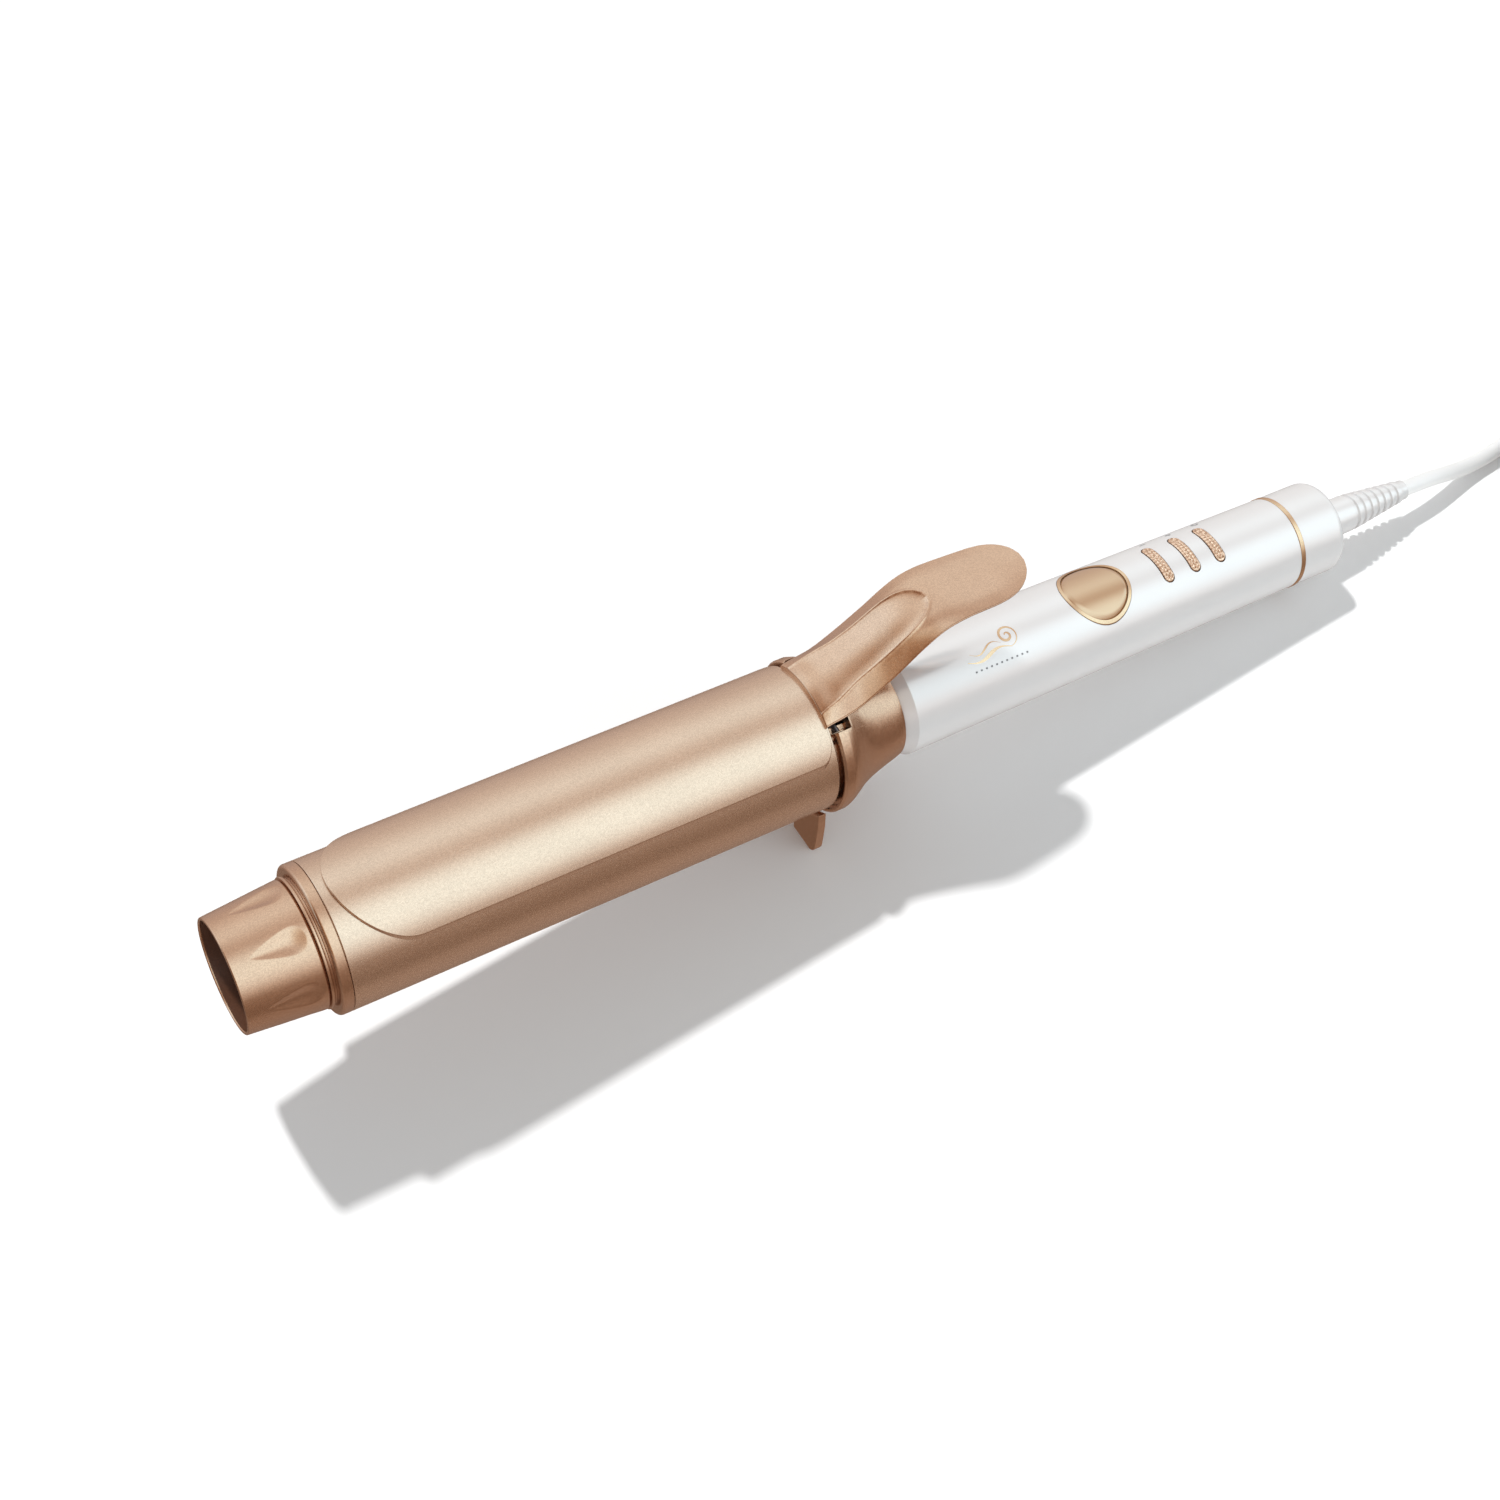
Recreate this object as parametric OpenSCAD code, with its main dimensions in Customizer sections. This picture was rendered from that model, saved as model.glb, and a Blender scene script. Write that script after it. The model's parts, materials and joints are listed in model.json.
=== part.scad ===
// Curling iron with a spring clamp, resting on its stand and on the end of its handle.
//
// Every piece is drawn along the tool's own axis: X is the station along the axis, counted
// from the open rim of the cool tip, Y is across and Z is the side of the thumb lever.
// at_rest() then leans the whole tool onto the floor plane Z = 0.

/* [Barrel] */
// Outer radius of the heated barrel
barrel_r = 25; // [24.6:0.1:25.2]
// Wall thickness of the barrel tube
barrel_wall = 1.2; // [0.8:0.1:1.6]
// Station where the barrel tube starts
barrel_front = 32.3; // [31:0.1:34]
// Station where the barrel tube ends
barrel_back = 205.9; // [205:0.1:206.5]

/* [Cool tip] */
// Outer radius at the open rim of the cool tip
tip_rim_r = 19.3; // [18.9:0.1:20]
// Outer radius at the foot of the cool tip
tip_foot_r = 21.4; // [20.8:0.1:21.8]
// Number of finger dimples around the cool tip
dimple_count = 7; // [5:1:9]

/* [Clamp] */
// Opening angle of the clamp as drawn, 0 is closed
clamp_open = 0; // [0:1:22]
// Thickness of the clamp plate
plate_t = 1.1; // [0.8:0.1:1.2]
// Free gap between barrel and clamp plate
plate_gap = 0.3; // [0.3:0.05:0.5]
// Half width of the clamp plate, seen from above
plate_half_w = 22.2; // [20:0.1:22.6]

/* [Stand] */
// Depth of the stand's feet below the tool axis
stand_drop = 40.6; // [39:0.1:43]
// Fold-away angle of the stand as drawn, 0 is down
stand_fold = 0; // [0:1:90]

/* [Handle] */
// Handle radius at its front end
grip_front_r = 19; // [18.6:0.1:19.6]
// Handle radius at its back end
grip_back_r = 17.15; // [16.8:0.05:18]
// Radius of the round display bezel
display_r = 13.2; // [11:0.1:13.4]
// Half length of a push button, across the handle
button_half_l = 8.4; // [7:0.1:9]
// Width of a push button
button_w = 4; // [3:0.1:4.6]
// Travel of a push button
button_travel = 0.8; // [0.4:0.1:0.8]

/* [Cord] */
// Diameter of the mains cord
cord_d = 6; // [5:0.5:6]

/* [Hidden] */

// Smoothness of turned surfaces
$fn = 96;
// Allowance that carries a cutter past the face it cuts
past = 1;
// Radial clearance of a pin in its bore
pin_clear = 0.05;

// Colours
rose_gold = [0.72, 0.54, 0.42];
pearl = [0.93, 0.93, 0.92];
gold = [0.82, 0.62, 0.42];
dark = [0.15, 0.13, 0.13];
steel = [0.7, 0.7, 0.72];

// Stations along the tool axis
tip_floor = 15.5;
tip_back = 26.2;
collar_front = 206.9;
flange_back = 210.4;
collar_back = 236.5;
grip_front = 237;
grip_back = 408.4;
cap_front = 410.3;
cap_back = 430;
boot_back = 472;
display_x = 324;
button_x = [352, 363.7, 374.8];

// Radii of the turned parts
flange_r = 27.3;
spigot_r = barrel_r - barrel_wall - 0.1;
grip_bore_r = 15.4;
boot_r = 6.9;
boot_end_r = 3.7;

// Clamp hinge: station and height above the tool axis
hinge_x = 210;
hinge_z = 15.5;
hinge_pin_r = 1.5;
hinge_half_l = 17;
plate_in_r = barrel_r + plate_gap;
plate_out_r = plate_in_r + plate_t;

// Stand hinge
stand_x = 211.5;
stand_z = -30;
stand_pin_r = 1.1;
stand_t = 3;
stand_plate_x = 204.2;
stand_ear_y = [7.5, 10.5];

// Rest pose: the tool leans on the stand's feet and on the rounded edge of the end cap.
cap_edge_r = 3.5;
foot_x = stand_plate_x + stand_t;
edge_x = cap_back - cap_edge_r;
edge_z = -(grip_back_r - cap_edge_r);
span = norm([edge_x - foot_x, edge_z + stand_drop]);
rest_tilt = atan2(edge_z + stand_drop, edge_x - foot_x) - asin(cap_edge_r / span);
rest_height = cap_edge_r + edge_x * sin(rest_tilt) - edge_z * cos(rest_tilt);
front_x = -tip_rim_r * sin(rest_tilt);
end_x = boot_back * cos(rest_tilt) + boot_end_r * sin(rest_tilt);
rest_shift = -(front_x + end_x) / 2;

// Mains cord, laid on the floor. The first points follow the tool axis out of the boot.
cord_r = cord_d / 2;
coil_x = 322;
coil_y = -30;
coil_turn_r = 33;
coil_wide = 3;
coil_high = 4;
tie_t = 0.6;
cord_start = boot_back + 0.3;
boot_point = [cord_start * cos(rest_tilt) + rest_shift, 0,
    rest_height - cord_start * sin(rest_tilt)];

// ---------------------------------------------------------------- shared shapes

module at_rest() {
    translate([rest_shift, 0, rest_height])
        rotate([0, rest_tilt, 0])
            children();
}

// A turned piece. Points are [radius, station].
module turned(points) {
    rotate([0, 90, 0])
        rotate_extrude()
            polygon(points);
}

// A turned shell that covers an angle each side of the lever side.
module turned_sector(points, half_angle) {
    rotate([0, 90, 0])
        rotate([0, 0, 180 - half_angle])
            rotate_extrude(angle = 2 * half_angle)
                polygon(points);
}

// A rod along the tool axis
module rod_x(x0, x1, r, y = 0, z = 0) {
    translate([x0, y, z])
        rotate([0, 90, 0])
            cylinder(r = r, h = x1 - x0);
}

// A rod across the tool, centred on the mid plane
module rod_y(x, z, r, half_l) {
    translate([x, half_l, z])
        rotate([90, 0, 0])
            cylinder(r = r, h = 2 * half_l);
}

module block(x, y, z) {
    translate([x[0], y[0], z[0]])
        cube([x[1] - x[0], y[1] - y[0], z[1] - z[0]]);
}

// Points of an arc in the [radius, station] plane
function arc(centre, r, from, to, steps = 6) = [for (i = [0:steps])
    let (a = from + (to - from) * i / steps)
    [centre[0] + r * cos(a), centre[1] + r * sin(a)]];

// Radius of the handle at a station
function grip_r(x) = grip_front_r
    + (grip_back_r - grip_front_r) * (x - 245) / (grip_back - 245);

// The handle's outline grown outwards, as a solid of revolution
module grip_solid(grow, from, to) {
    turned([[0, from], [grip_r(from) + grow, from], [grip_r(to) + grow, to], [0, to]]);
}

// ---------------------------------------------------------------- cool tip and barrel

module cool_tip() {
    wall = 1.2;
    bore_r = tip_rim_r - wall;
    color(rose_gold) at_rest() difference() {
        turned(concat(
            [[1.8, tip_floor], [bore_r - 0.4, tip_floor], [bore_r, 0.5], [bore_r + 0.3, 0],
                [tip_rim_r - 0.4, 0], [tip_rim_r, 0.5], [tip_foot_r, tip_back - 1.6]],
            arc([tip_foot_r - 0.8, tip_back - 0.8], 0.8, 0, 90, 4),
            [[19, tip_back], [19, tip_floor + 2.5], [1.8, tip_floor + 2.5]]));
        for (i = [0:dimple_count - 1])
            rotate([i * 360 / dimple_count + 26.5, 0, 0])
                dimple();
    }
}

// A finger dimple: a shallow round hollow with a tapering tail towards the rim
module dimple() {
    ball_r = 9;
    depth = 1.3;
    translate([18.5, 0, tip_foot_r - 0.6 + ball_r - depth])
        sphere(r = ball_r);
}

module tip_screw() {
    color(steel) at_rest() difference() {
        union() {
            rod_x(tip_floor - 2.2, tip_floor, 3.2);
            rod_x(tip_floor, 28, 1.5);
        }
        block([tip_floor - 2.2 - past, tip_floor - 1.2], [-2, 2], [-0.4, 0.4]);
        block([tip_floor - 2.2 - past, tip_floor - 1.2], [-0.4, 0.4], [-2, 2]);
    }
}

module front_ring() {
    color(rose_gold) at_rest()
        turned(concat(
            [[1.55, tip_floor + 2.5], [18.9, tip_floor + 2.5], [18.9, tip_back],
                [21.6, tip_back], [21.9, tip_back + 0.4], [21.9, tip_back + 1.0],
                [20.8, tip_back + 1.2], [20.8, 28.2], [barrel_r - 1.2, 28.2]],
            arc([barrel_r - 1.2, 29.4], 1.2, -90, 0, 5),
            [[barrel_r, barrel_front - 0.15], [spigot_r, barrel_front - 0.15], [spigot_r, 41],
                [spigot_r - 1.8, 41], [spigot_r - 1.8, 30.5], [16.4, 30.5], [16.4, 20.6],
                [5, 20.6], [5, 29], [1.55, 29]]));
}

module barrel_tube() {
    inner_r = barrel_r - barrel_wall;
    color(rose_gold) at_rest()
        turned([[inner_r, barrel_front], [barrel_r - 0.3, barrel_front],
            [barrel_r, barrel_front + 0.3], [barrel_r, barrel_back - 0.3],
            [barrel_r - 0.3, barrel_back], [inner_r, barrel_back]]);
}

// ---------------------------------------------------------------- heater pack

heater_x = [52, 168];

module ptc_heater() {
    color([0.85, 0.83, 0.78]) at_rest()
        block(heater_x, [-9, 9], [-1.4, 1.4]);
}

// Half of the aluminium spreader: a shell against the tube and a flat on the heater
module heat_block() {
    shell = 1.6;
    translate([heater_x[0] - 6, 0, 0])
        rotate([90, 0, 90])
            linear_extrude(height = heater_x[1] - heater_x[0] + 12)
                difference() {
                    union() {
                        difference() {
                            circle(r = spigot_r);
                            circle(r = spigot_r - shell);
                        }
                        translate([-11, 1.5])
                            square([22, 2.5]);
                        for (side = [-1, 1])
                            translate([side * 9 - 1, 2])
                                square([2, spigot_r - 5]);
                    }
                    translate([-spigot_r - past, -spigot_r - past])
                        square([2 * (spigot_r + past), spigot_r + past + 1.5]);
                    difference() {
                        circle(r = spigot_r + 5);
                        circle(r = spigot_r);
                    }
                }
}

module heat_block_upper() {
    color([0.8, 0.81, 0.83]) at_rest()
        heat_block();
}

module heat_block_lower() {
    color([0.8, 0.81, 0.83]) at_rest()
        mirror([0, 0, 1])
            heat_block();
}

// Bowed leaf springs that push the two spreader halves apart against the tube
module block_springs() {
    leaf_r = 3.2;
    color(steel) at_rest()
        for (x = [70, 110, 150], side = [-1, 1])
            translate([x - 6, side * 15.2, 0])
                rotate([90, 0, 90])
                    linear_extrude(height = 12)
                        difference() {
                            circle(r = leaf_r);
                            circle(r = leaf_r - 0.5);
                            translate([side > 0 ? -leaf_r - past : 0.6, -leaf_r])
                                square([leaf_r + past - 0.6, 2 * leaf_r]);
                        }
}

module temperature_sensor() {
    color([0.55, 0.25, 0.15]) at_rest()
        rod_x(heater_x[1] + 0.5, heater_x[1] + 6, 1.2, -7, 0);
}

module thermal_fuse() {
    color([0.9, 0.9, 0.86]) at_rest()
        rod_x(176, 188, 2, 8, -8);
}

module heater_leads() {
    color([0.75, 0.2, 0.15]) at_rest()
        for (side = [-1, 1])
            rod_x(heater_x[1], 250, 0.9, side * 4, 0.5);
}

module rear_insulator() {
    color([0.8, 0.74, 0.62]) at_rest()
        difference() {
            rod_x(191, 195.5, spigot_r);
            rod_x(190, 197, 5.4);
        }
}

// ---------------------------------------------------------------- collar

// Flare from the flange down to the handle: [radius, station]
flare = [
    [27.1, 211.2], [26.7, 212.4], [26, 213.9], [24.7, 216.2], [23.2, 218.9], [22.1, 221.5],
    [21.3, 223.8], [20.7, 225.9], [20, 228.5], [19.3, 231.4], [18.7, 234], [18, collar_back]];

module rear_collar() {
    slot_y = 11.1;
    shell_r = 26;
    hollow_back = 211.2;
    color(rose_gold) at_rest() difference() {
        union() {
            turned(concat(
                [[17, collar_front], [21.5, collar_front - 0.4], [21.5, 196.5], [spigot_r, 196.5],
                    [spigot_r, hollow_back], [shell_r, hollow_back], [shell_r, collar_front],
                    [26.6, collar_front], [flange_r, collar_front + 0.7],
                    [flange_r, flange_back]],
                flare,
                [[15.25, collar_back], [15.25, 245.5], [13.3, 245.5], [13.3, 232],
                    [17, 220]]));
            for (side = [-1, 1])
                stand_lug(side);
        }
        // Window for the lever in the flange
        turned_sector([[20, collar_front - past], [30, collar_front - past], [30, 213.2],
            [20, 213.2]], 38.3);
        // Slot for the two ears of the clamp plate
        block([203.5, 219], [-slot_y, slot_y], [9, 30]);
        rod_y(hinge_x, hinge_z, hinge_pin_r, hinge_half_l);
        rod_y(stand_x, stand_z, stand_pin_r, stand_ear_y[1] + past);
    }
}

module stand_lug(side) {
    y = side > 0 ? stand_ear_y : [-stand_ear_y[1], -stand_ear_y[0]];
    block([209.8, 213.2], y, [stand_z, -24]);
    translate([stand_x, y[1], stand_z])
        rotate([90, 0, 0])
            cylinder(r = 2.2, h = y[1] - y[0]);
}

module hinge_pin() {
    color(steel) at_rest()
        rod_y(hinge_x, hinge_z, hinge_pin_r, hinge_half_l - 0.2);
}

// Torsion spring on the hinge pin: a helix with a straight leg at each end
module clamp_spring() {
    turns = 5;
    steps = 14;
    pitch = 1.3;
    leg = 8;
    wire_r = 0.5;
    coil_r = 2.9;
    last = turns * steps;
    color(steel) at_rest()
        translate([hinge_x, 0, hinge_z])
            skin(concat(
                [spring_ring(0, leg, coil_r, -turns * pitch / 2, wire_r)],
                [for (i = [0:last])
                    spring_ring(i * 360 / steps, 0, coil_r, (i / last - 0.5) * turns * pitch,
                        wire_r)],
                [spring_ring(turns * 360, -leg, coil_r, turns * pitch / 2, wire_r)]));
}

// Section of the spring wire at an angle round the pin, moved along the wire for a leg
function spring_ring(angle, leg, coil_r, y, wire_r, sides = 8) =
    let (
        radial = [-cos(angle), 0, sin(angle)],
        along = [sin(angle), 0, cos(angle)],
        centre = coil_r * radial + [0, y, 0] - leg * along)
    [for (k = [0:sides - 1]) let (a = k * 360 / sides)
        centre + wire_r * cos(a) * radial + wire_r * sin(a) * [0, 1, 0]];

// ---------------------------------------------------------------- clamp

// Turns the clamp's pieces about the hinge pin
module clamp_turn() {
    translate([hinge_x, 0, hinge_z])
        rotate([0, clamp_open, 0])
            translate([-hinge_x, 0, -hinge_z])
                children();
}

// Outline of the clamp plate from above: a round nose and rounded rear corners
module plate_outline() {
    nose_x = 35.4 + plate_half_w;
    rear_x = 204.5;
    corner = 5;
    translate([nose_x, 0])
        circle(r = plate_half_w);
    translate([nose_x, -plate_half_w])
        square([rear_x - corner - nose_x, 2 * plate_half_w]);
    translate([rear_x - corner - past, -plate_half_w + corner])
        square([corner + past, 2 * (plate_half_w - corner)]);
    for (side = [-1, 1])
        translate([rear_x - corner, side * (plate_half_w - corner)])
            circle(r = corner);
}

module clamp_plate() {
    ear_y = 8.2;
    ear_t = 1.2;
    color(rose_gold) at_rest() clamp_turn() {
        intersection() {
            turned_sector([[plate_in_r, 34], [plate_out_r, 34], [plate_out_r, 206],
                [plate_in_r, 206]], 62);
            translate([0, 0, 2])
                linear_extrude(height = 30)
                    plate_outline();
        }
        turned_sector([[plate_in_r + 0.02, 200], [plate_out_r - 0.02, 200],
            [plate_out_r - 0.02, 213], [plate_in_r + 0.02, 213]], 24);
        for (side = [-1, 1])
            difference() {
                intersection() {
                    block([207, 213], [side > 0 ? ear_y : -ear_y - ear_t,
                        side > 0 ? ear_y + ear_t : -ear_y], [hinge_z - 2.8, 26]);
                    rod_x(200, 220, plate_out_r - 0.1);
                }
                rod_y(hinge_x, hinge_z, hinge_pin_r + pin_clear, 14);
            }
    }
}

// Thumb lever, station by station: [x, panel height, panel half width, edge height,
// edge half width, rise of the panel's middle, height of the underside, drop of its sides]
lever_stations = [
    [202.6, 24.7, 10.9, 22.3, 14.6, 2.2, 26.6, 3.4], [203.6, 25.7, 10.9, 22.5, 14.6, 2.2, 26.6, 3.2],
    [204.8, 26.4, 10.9, 22.9, 14.6, 2.2, 26.65, 2.8], [206.4, 27.4, 10.8, 23.4, 14.6, 1.9, 26.65, 2.6],
    [210, 29.2, 10.6, 24.1, 14.6, 1.1, 26.8, 2.4], [214, 31.6, 10, 25.2, 14.5, 0.2, 28.8, 3.4],
    [218, 33.9, 9.2, 27.1, 14.5, -0.4, 31.2, 3.9], [222, 36.3, 8.9, 29.8, 14.4, -0.9, 33.3, 3.4],
    [226, 38.9, 8.7, 32.7, 14.3, -1.1, 35.7, 2.9], [230, 41.9, 8.6, 35.8, 14.2, -1.2, 38.6, 2.6],
    [234, 45, 8.5, 39.2, 14, -1.2, 41.7, 2.3], [238, 47.6, 8.6, 42.8, 13.9, -1, 44.3, 1.2],
    [242, 49.6, 8.8, 45.9, 13.8, -0.6, 46.9, 0.9], [246, 51.3, 8.9, 48.2, 13.6, -0.2, 49, 0.8],
    [250, 52.3, 8.9, 49.4, 13.4, 0, 50.2, 0.6], [256, 52.5, 8.9, 50, 13.1, -0.3, 50.3, 0.2],
    [262, 52.2, 8.8, 50, 12.9, -0.5, 49.9, 0], [268, 51.9, 8.6, 49.9, 12.7, -0.5, 49.7, 0],
    [273, 51.9, 8.2, 50.1, 12.2, -0.4, 49.8, 0], [277, 52.2, 7.4, 50.5, 11.1, -0.3, 50.1, 0],
    [280, 52.6, 6.2, 51, 9.4, -0.2, 50.6, 0], [282.5, 52.9, 4.4, 51.5, 7, 0, 51.1, 0],
    [284.2, 53.1, 2.6, 51.9, 4.2, 0, 51.6, 0], [285, 53.2, 1, 52.2, 1.6, 0, 52, 0]];

// Closed section of the lever at one station: the top panel, a flank, the underside and a flank
function lever_section(s, steps = 6) =
    let (side = 0.9, skirt = min(1.8, s[4] / 3))
    concat(
        [[s[0], -s[4], s[3]], [s[0], -s[4], s[3] + side]],
        [for (i = [0:steps]) let (t = -1 + 2 * i / steps)
            [s[0], t * s[2], s[1] + s[5] * (1 - t * t)]],
        [[s[0], s[4], s[3] + side], [s[0], s[4], s[3]], [s[0], s[4] - skirt, s[3]]],
        [for (i = [0:steps]) let (t = 1 - 2 * i / steps)
            [s[0], t * (s[4] - skirt - 0.6), s[6] - s[7] * t * t]],
        [[s[0], skirt - s[4], s[3]]]);

// A closed skin through equal rings of points
module skin(rings) {
    n = len(rings[0]);
    count = len(rings);
    polyhedron(
        points = [for (ring = rings) each ring],
        faces = concat(
            [[for (i = [0:n - 1]) n - 1 - i]],
            [for (k = [0:count - 2], i = [0:n - 1])
                [k * n + i, k * n + (i + 1) % n, (k + 1) * n + (i + 1) % n]],
            [for (k = [0:count - 2], i = [0:n - 1])
                [k * n + i, (k + 1) * n + (i + 1) % n, (k + 1) * n + i]],
            [[for (i = [0:n - 1]) (count - 1) * n + i]]));
}

module thumb_lever() {
    color(rose_gold) at_rest() clamp_turn()
        skin([for (s = lever_stations) lever_section(s)]);
}

module lever_rivets() {
    color(steel) at_rest() clamp_turn()
        for (side = [-1, 1])
            translate([208.4, side * 5.5, 0]) {
                translate([0, 0, 24.1])
                    cylinder(r = 1.8, h = 0.7);
                translate([0, 0, 24.1])
                    cylinder(r = 1, h = 3);
            }
}

// ---------------------------------------------------------------- stand

// Turns the stand about its pin
module stand_turn() {
    translate([stand_x, 0, stand_z])
        rotate([0, -stand_fold, 0])
            translate([-stand_x, 0, -stand_z])
                children();
}

// Half outline of the stand in the [across, height] plane: a crescent with a wide foot.
// The foot runs past the floor plane, which cuts it off flat.
module stand_outline() {
    foot_out = 20.3;
    foot_in = 7;
    foot_r = 4.6;
    foot_z = -stand_drop - 0.8;
    arch_z = -33;
    difference() {
        polygon(concat(
            [[-7.2, -26], [7.2, -26], [16, -20], [foot_out - 1.3, -19.4], [foot_out - 0.2, -27],
                [foot_out, foot_z + foot_r]],
            arc([foot_out - foot_r, foot_z + foot_r], foot_r, 0, -90, 6),
            [[foot_in, foot_z], [foot_in - 0.7, arch_z - 2], [foot_in - 2, arch_z - 0.5],
                [foot_in - 4, arch_z], [-7.2, arch_z]]));
        circle(r = flange_r + 0.5);
    }
}

module stand() {
    color(rose_gold) difference() {
        at_rest() stand_turn() {
            translate([stand_plate_x, 0, 0])
                rotate([90, 0, 90])
                    linear_extrude(height = stand_t)
                        union() {
                            stand_outline();
                            mirror([1, 0])
                                stand_outline();
                        }
            difference() {
                union() {
                    rod_y(stand_x, stand_z, 2.2, stand_ear_y[0] - 0.3);
                    block([stand_plate_x + 2, stand_x], [-7.2, 7.2],
                        [stand_z - 1.4, stand_z + 1.4]);
                }
                rod_y(stand_x, stand_z, stand_pin_r + pin_clear, 12);
            }
        }
        // The feet end on the floor plane
        translate([-300, -60, -20])
            cube([600, 120, 20]);
    }
}

module stand_pin() {
    color(steel) at_rest()
        rod_y(stand_x, stand_z, stand_pin_r, stand_ear_y[1]);
}

// ---------------------------------------------------------------- handle

module handle_sleeve() {
    color(pearl) at_rest() difference() {
        turned([[grip_bore_r, grip_front], [17.5, grip_front], [17.9, grip_front + 0.5],
            [grip_front_r - 0.3, grip_front + 4.2], [grip_r(242), 242],
            [grip_r(grip_back), grip_back], [grip_bore_r, grip_back]]);
        translate([display_x, 0, 0])
            cylinder(r = display_r + 0.1, h = 30);
        for (x = button_x)
            translate([x, 0, 5])
                button_prism(0.3, 25);
    }
}

// A slot-shaped prism with round ends, across the handle
module button_prism(grow, height) {
    end_r = button_w / 2 + grow;
    end_y = button_half_l - button_w / 2;
    for (side = [-1, 1])
        translate([0, side * end_y, 0])
            cylinder(r = end_r, h = height);
    translate([-end_r, -end_y, 0])
        cube([2 * end_r, 2 * end_y, height]);
}

module chassis() {
    floor_r = grip_bore_r - 0.2;
    color([0.3, 0.3, 0.32]) at_rest() difference() {
        union() {
            difference() {
                rod_x(246, 407, floor_r);
                rod_x(246 - past, 407 + past, floor_r - 2);
                block([245, 408], [-16, 16], [-1, 16]);
            }
            for (x = [258, 398], side = [-1, 1])
                translate([x, side * 9, -10.5])
                    cylinder(r = 2.2, h = 13.5);
        }
        for (x = [258, 398], side = [-1, 1])
            translate([x, side * 9, -5])
                cylinder(r = 0.95, h = 10);
    }
}

board_z = 3;
board_t = 1.6;

module circuit_board() {
    color([0.1, 0.4, 0.25]) at_rest() difference() {
        block([252, 404], [-12.5, 12.5], [board_z, board_z + board_t]);
        for (x = [258, 398], side = [-1, 1])
            translate([x, side * 9, board_z - past])
                cylinder(r = 1.2, h = board_t + 2 * past);
    }
}

module board_screws() {
    color(steel) at_rest()
        for (x = [258, 398], side = [-1, 1])
            translate([x, side * 9, 0]) {
                translate([0, 0, board_z + board_t])
                    cylinder(r = 2, h = 1.4);
                translate([0, 0, -4])
                    cylinder(r = 0.9, h = board_z + board_t + 4);
            }
}

module triac() {
    color(dark) at_rest() {
        block([268, 277], [-5, 5], [board_z + board_t, board_z + board_t + 4.4]);
        block([277, 283], [-5, 5], [board_z + board_t, board_z + board_t + 1.3]);
    }
}

module capacitor() {
    color([0.2, 0.25, 0.45]) at_rest()
        rod_x(288, 302, 4.2, 0, board_z + board_t + 4.2);
}

module tact_switches() {
    color(dark) at_rest()
        for (x = button_x)
            translate([x, 0, board_z + board_t]) {
                translate([-3, -3, 0])
                    cube([6, 6, 3.4]);
                cylinder(r = 1.7, h = 4);
            }
}

module display_module() {
    color([0.25, 0.28, 0.27]) at_rest()
        block([314, 334], [-8, 8], [board_z + board_t, 10]);
}

module display_bezel() {
    color(gold) at_rest() difference() {
        intersection() {
            grip_solid(0.25, 300, 348);
            translate([display_x, 0, 11.2])
                cylinder(r = display_r, h = 20);
        }
        translate([display_x, 0, 0])
            cylinder(r = display_r - 1.2, h = 30);
    }
}

module display_lens() {
    color([0.62, 0.48, 0.34]) at_rest()
        intersection() {
            difference() {
                grip_solid(0.1, 300, 348);
                rod_x(299, 349, 14.6);
            }
            translate([display_x, 0, 5])
                cylinder(r = display_r - 1.4, h = 25);
        }
}

module push_button(x) {
    color(gold) at_rest()
        intersection() {
            grip_solid(0.35, 340, 390);
            translate([x, 0, 0])
                union() {
                    translate([0, 0, 12])
                        button_prism(0, 18);
                    translate([0, 0, 8.6 + button_travel + 0.3])
                        cylinder(r = 1.4, h = 6);
                }
        }
}

module minus_button() {
    push_button(button_x[0]);
}

module plus_button() {
    push_button(button_x[1]);
}

module power_button() {
    push_button(button_x[2]);
}

// ---------------------------------------------------------------- end cap and swivel

module mains_wires() {
    color([0.25, 0.35, 0.7]) at_rest()
        for (side = [-1, 1])
            rod_x(399, 414, 0.9, side * 3, 8.9);
}

module trim_ring() {
    color(gold) at_rest()
        turned([[14.9, grip_back], [grip_back_r + 0.05, grip_back],
            [grip_back_r + 0.2, grip_back + 0.2], [grip_back_r + 0.2, cap_front - 0.2],
            [grip_back_r + 0.05, cap_front], [14.9, cap_front]]);
}

core_r = 7.2;
pocket_r = 10.4;
pocket_front = 421;

module end_cap() {
    color(pearl) at_rest()
        turned(concat(
            [[15, cap_front], [grip_back_r, cap_front]],
            arc([grip_back_r - cap_edge_r, edge_x], cap_edge_r, 0, 90, 6),
            [[core_r + pin_clear, cap_back], [core_r + pin_clear, 426], [pocket_r, 426],
                [pocket_r, pocket_front], [15, pocket_front]]));
}

module swivel_core() {
    color(pearl) at_rest()
        turned([[2.6, 411.5], [5.6, 411.5], [5.6, pocket_front + 0.4],
            [pocket_r - 0.4, pocket_front + 0.4], [pocket_r - 0.4, 425.6],
            [core_r, 425.6], [core_r, cap_back + 0.4], [0, cap_back + 0.4], [0, 424],
            [2.6, 424]]);
}

module swivel_retainer() {
    color([0.3, 0.3, 0.32]) at_rest()
        difference() {
            rod_x(418, pocket_front, 14.9);
            rod_x(417, pocket_front + past, 6.1);
        }
}

module slip_rings() {
    color(gold) at_rest()
        for (x = [412.2, 415])
            turned([[5.6, x], [6.4, x], [6.4, x + 1.6], [5.6, x + 1.6]]);
}

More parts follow.
